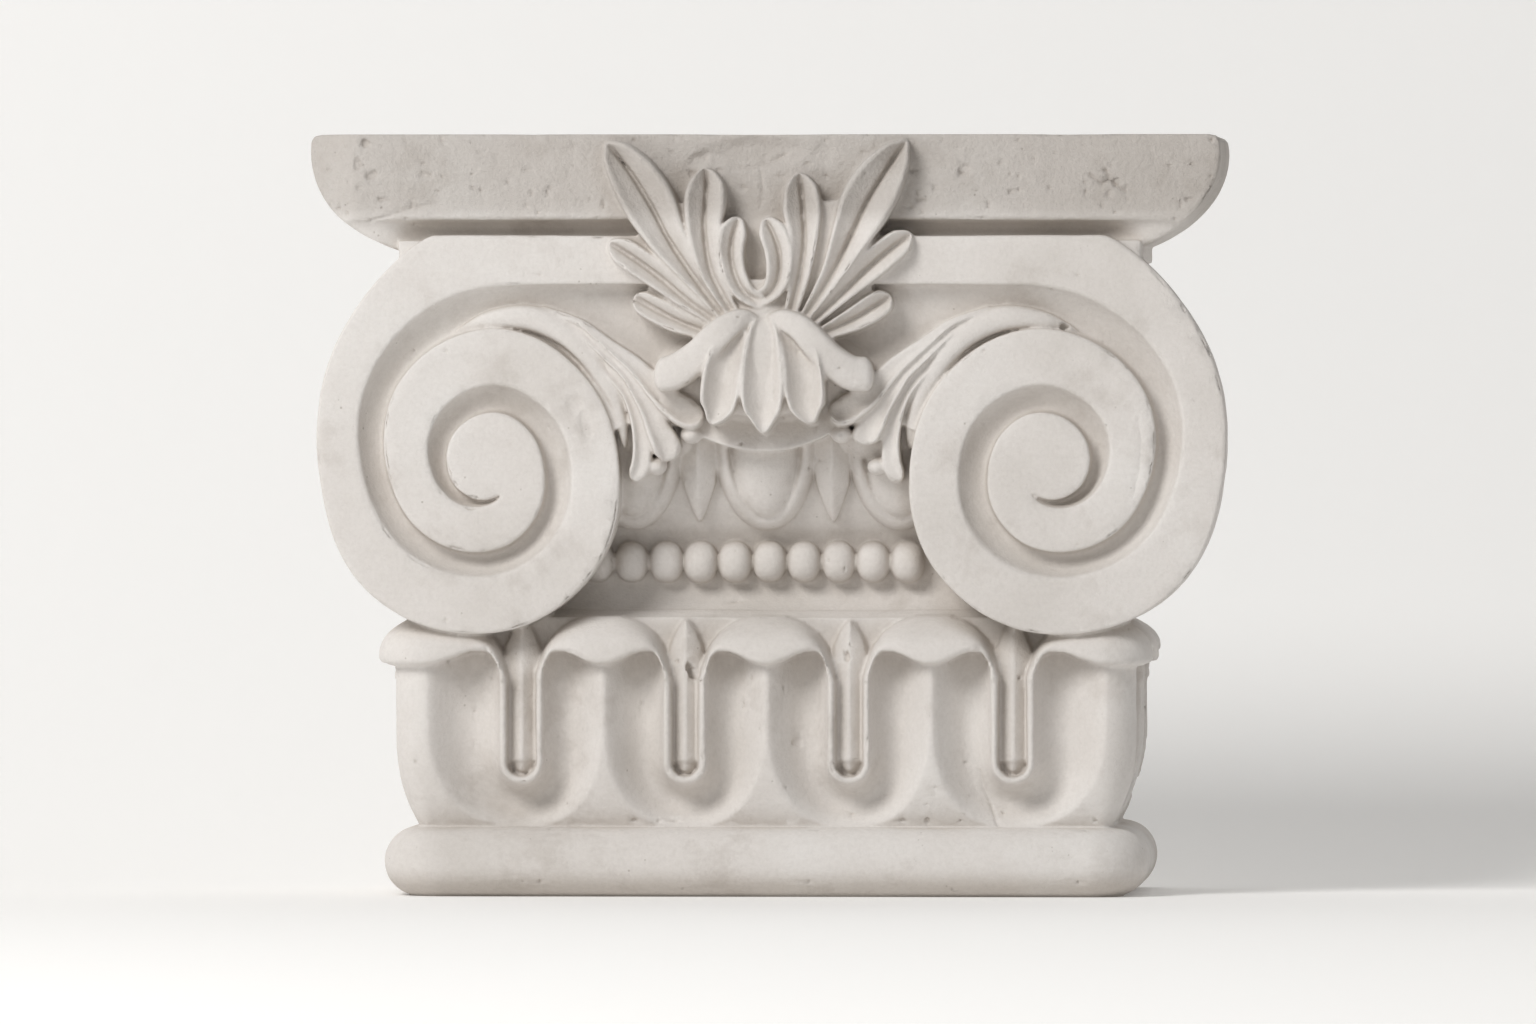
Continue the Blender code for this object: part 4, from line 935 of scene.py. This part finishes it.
def limestone():
    material = bpy.data.materials.new("limestone")
    material.use_nodes = True
    tree = material.node_tree
    nodes, links = tree.nodes, tree.links
    shader = nodes["Principled BSDF"]
    shader.inputs["Roughness"].default_value = 0.85
    shader.inputs["Specular IOR Level"].default_value = 0.25
    place = nodes.new("ShaderNodeTexCoord").outputs["Object"]

    def texture(kind, scale, **settings):
        node = nodes.new(f"ShaderNodeTex{kind}")
        node.inputs["Scale"].default_value = scale
        for name, value in settings.items():
            node.inputs[name].default_value = value
        links.new(place, node.inputs["Vector"])
        return node

    def ramp(source, stops):
        node = nodes.new("ShaderNodeValToRGB")
        elements = node.color_ramp.elements
        while len(elements) < len(stops):
            elements.new(0.5)
        for element, (position, colour) in zip(elements, stops):
            element.position = position
            element.color = (*colour, 1) if len(colour) == 3 else colour
        links.new(source, node.inputs["Fac"])
        return node.outputs["Color"]

    def mix(kind, factor, a, b):
        node = nodes.new("ShaderNodeMix")
        node.data_type, node.blend_type = "RGBA", kind
        if isinstance(factor, float):
            node.inputs[0].default_value = factor
        else:
            links.new(factor, node.inputs[0])
        for socket, value in ((node.inputs[6], a), (node.inputs[7], b)):
            if isinstance(value, tuple):
                socket.default_value = (*value, 1)
            else:
                links.new(value, socket)
        return node.outputs[2]

    clouds = texture("Noise", 9.0, Detail=6.0, Roughness=0.6).outputs["Fac"]
    tone = ramp(clouds, ((0.30, (0.66, 0.625, 0.59)), (0.50, (0.745, 0.71, 0.68)),
                         (0.72, (0.80, 0.775, 0.75))))
    grain = texture("Noise", 420.0, Detail=4.0, Roughness=0.7).outputs["Fac"]
    tone = mix("MULTIPLY", 0.35, tone, ramp(grain, ((0.3, (0.82, 0.81, 0.8)), (0.6, (1.0, 1.0, 1.0)))))
    stains = texture("Noise", 26.0, Detail=8.0, Roughness=0.65).outputs["Fac"]
    tone = mix("MULTIPLY", 0.5, tone, ramp(stains, ((0.34, (0.80, 0.78, 0.76)), (0.46, (1.0, 1.0, 1.0)))))

    # The top is greyer, where rain and dust have reached it
    separate = nodes.new("ShaderNodeSeparateXYZ")
    links.new(place, separate.inputs[0])
    grey_top = ramp(separate.outputs["Z"], ((0.335, (0, 0, 0)), (0.345, (1, 1, 1))))
    tone = mix("MIX", grey_top, tone, mix("MULTIPLY", 1.0, tone, (0.76, 0.745, 0.73)))

    # Painted shade darkens the hollows and recesses from ambient occlusion, together with dust
    hollow = nodes.new("ShaderNodeAmbientOcclusion")
    hollow.samples = 8
    hollow.inputs["Distance"].default_value = 0.02
    dust_and_painted_shade = ramp(hollow.outputs["AO"], ((0.35, (0.70, 0.66, 0.61)), (0.85, (1.0, 1.0, 1.0))))
    tone = mix("MULTIPLY", 0.6, tone, dust_and_painted_shade)

    # Fine pores, as dark spots and as bumps
    pores = texture("Voronoi", 210.0, Randomness=1.0).outputs["Distance"]
    spread = texture("Noise", 60.0, Detail=3.0).outputs["Fac"]
    pore = nodes.new("ShaderNodeMath")
    pore.operation = "ADD"
    links.new(pores, pore.inputs[0])
    links.new(ramp(spread, ((0.42, (0.6, 0.6, 0.6)), (0.66, (0.0, 0.0, 0.0)))), pore.inputs[1])
    holes = ramp(pore.outputs[0], ((0.05, (0, 0, 0)), (0.16, (1, 1, 1))))
    tone = mix("MULTIPLY", 0.55, tone, mix("MIX", holes, (0.45, 0.42, 0.38), (1.0, 1.0, 1.0)))
    links.new(tone, shader.inputs["Base Color"])

    height = mix("MIX", 0.45, ramp(grain, ((0.25, (0, 0, 0)), (0.75, (1, 1, 1)))), holes)
    bump = nodes.new("ShaderNodeBump")
    links.new(ramp(grey_top, ((0.0, (0.45, 0.45, 0.45)), (1.0, (1.0, 1.0, 1.0)))), bump.inputs["Strength"])
    bump.inputs["Distance"].default_value = 0.0008
    links.new(height, bump.inputs["Height"])
    links.new(bump.outputs["Normal"], shader.inputs["Normal"])
    return material


def make_capital():
    mesh = block()
    mesh.name = "capital_carving"
    capital = bpy.data.objects.new("capital_carving", mesh)
    bpy.context.scene.collection.objects.link(capital)
    mesh.materials.clear()
    mesh.materials.append(limestone())
    mesh.shade_smooth()
    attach(capital, "root")
    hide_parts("capital")


# Studio


def make_stage():
    """A pale floor that sweeps up into a backdrop."""
    reach, start, radius = 6.0, 0.13, 1.1
    profile = [(-7.0, 0.0), (start, 0.0)]
    for turn in np.linspace(0, np.pi / 2, 24)[1:]:
        profile.append((start + radius * math.sin(turn), radius * (1 - math.cos(turn))))
    profile.append((start + radius, reach))
    points = [(x, y, z) for y, z in profile for x in (-reach, reach)]
    faces = [(2 * i, 2 * i + 1, 2 * i + 3, 2 * i + 2) for i in range(len(profile) - 1)]
    mesh = bpy.data.meshes.new("floor")
    mesh.from_pydata(points, [], faces)
    mesh.shade_smooth()
    floor = bpy.data.objects.new("floor", mesh)
    bpy.context.scene.collection.objects.link(floor)
    paper = bpy.data.materials.new("paper")
    paper.use_nodes = True
    shader = paper.node_tree.nodes["Principled BSDF"]
    shader.inputs["Base Color"].default_value = (0.95, 0.945, 0.935, 1)
    shader.inputs["Roughness"].default_value = 0.95
    shader.inputs["Specular IOR Level"].default_value = 0.1
    shader.inputs["Emission Color"].default_value = (1.0, 0.99, 0.98, 1)
    shader.inputs["Emission Strength"].default_value = 0.09
    mesh.materials.append(paper)


def area_light(name, place, aim, size, power, colour):
    data = bpy.data.lights.new(name, "AREA")
    data.shape, data.size, data.energy, data.color = "DISK", size, power, colour
    light = bpy.data.objects.new(name, data)
    light.location = place
    light.rotation_euler = (Vector(aim) - Vector(place)).to_track_quat("-Z", "Y").to_euler()
    bpy.context.scene.collection.objects.link(light)


def make_lights():
    area_light("key", (-2.0, -2.95, 2.7), (0, 0, 0.2), 1.9, 119, (1.0, 0.99, 0.975))
    world_light = bpy.data.worlds.new("studio")
    bpy.context.scene.world = world_light
    world_light.use_nodes = True
    background = world_light.node_tree.nodes["Background"]
    background.inputs["Color"].default_value = (1.0, 0.992, 0.98, 1)
    background.inputs["Strength"].default_value = 0.25


AZIMUTH, ELEVATION, DISTANCE = math.radians(3.0), math.radians(0.6), 9.0
AIM_X, AIM_Z = 2.5, 192.5
SEEN_WIDTH = 0.7665  # metres across the picture at the face of the abacus


def make_camera():
    bpy.context.scene.view_settings.view_transform = "Standard"
    aim = Vector(((AIM_X - MIDDLE_X) * MM, (BACK_Y - ABACUS_FACE) * MM, AIM_Z * MM))
    way = Vector((math.sin(AZIMUTH) * math.cos(ELEVATION), -math.cos(AZIMUTH) * math.cos(ELEVATION),
                  math.sin(ELEVATION)))
    data = bpy.data.cameras.new("camera")
    data.sensor_width = 36.0
    data.lens = data.sensor_width * DISTANCE / SEEN_WIDTH
    camera = bpy.data.objects.new("camera", data)
    camera.location = aim + way * DISTANCE
    camera.rotation_euler = (-way).to_track_quat("-Z", "Y").to_euler()
    bpy.context.scene.collection.objects.link(camera)
    bpy.context.scene.camera = camera


make_capital()
make_stage()
make_lights()
make_camera()
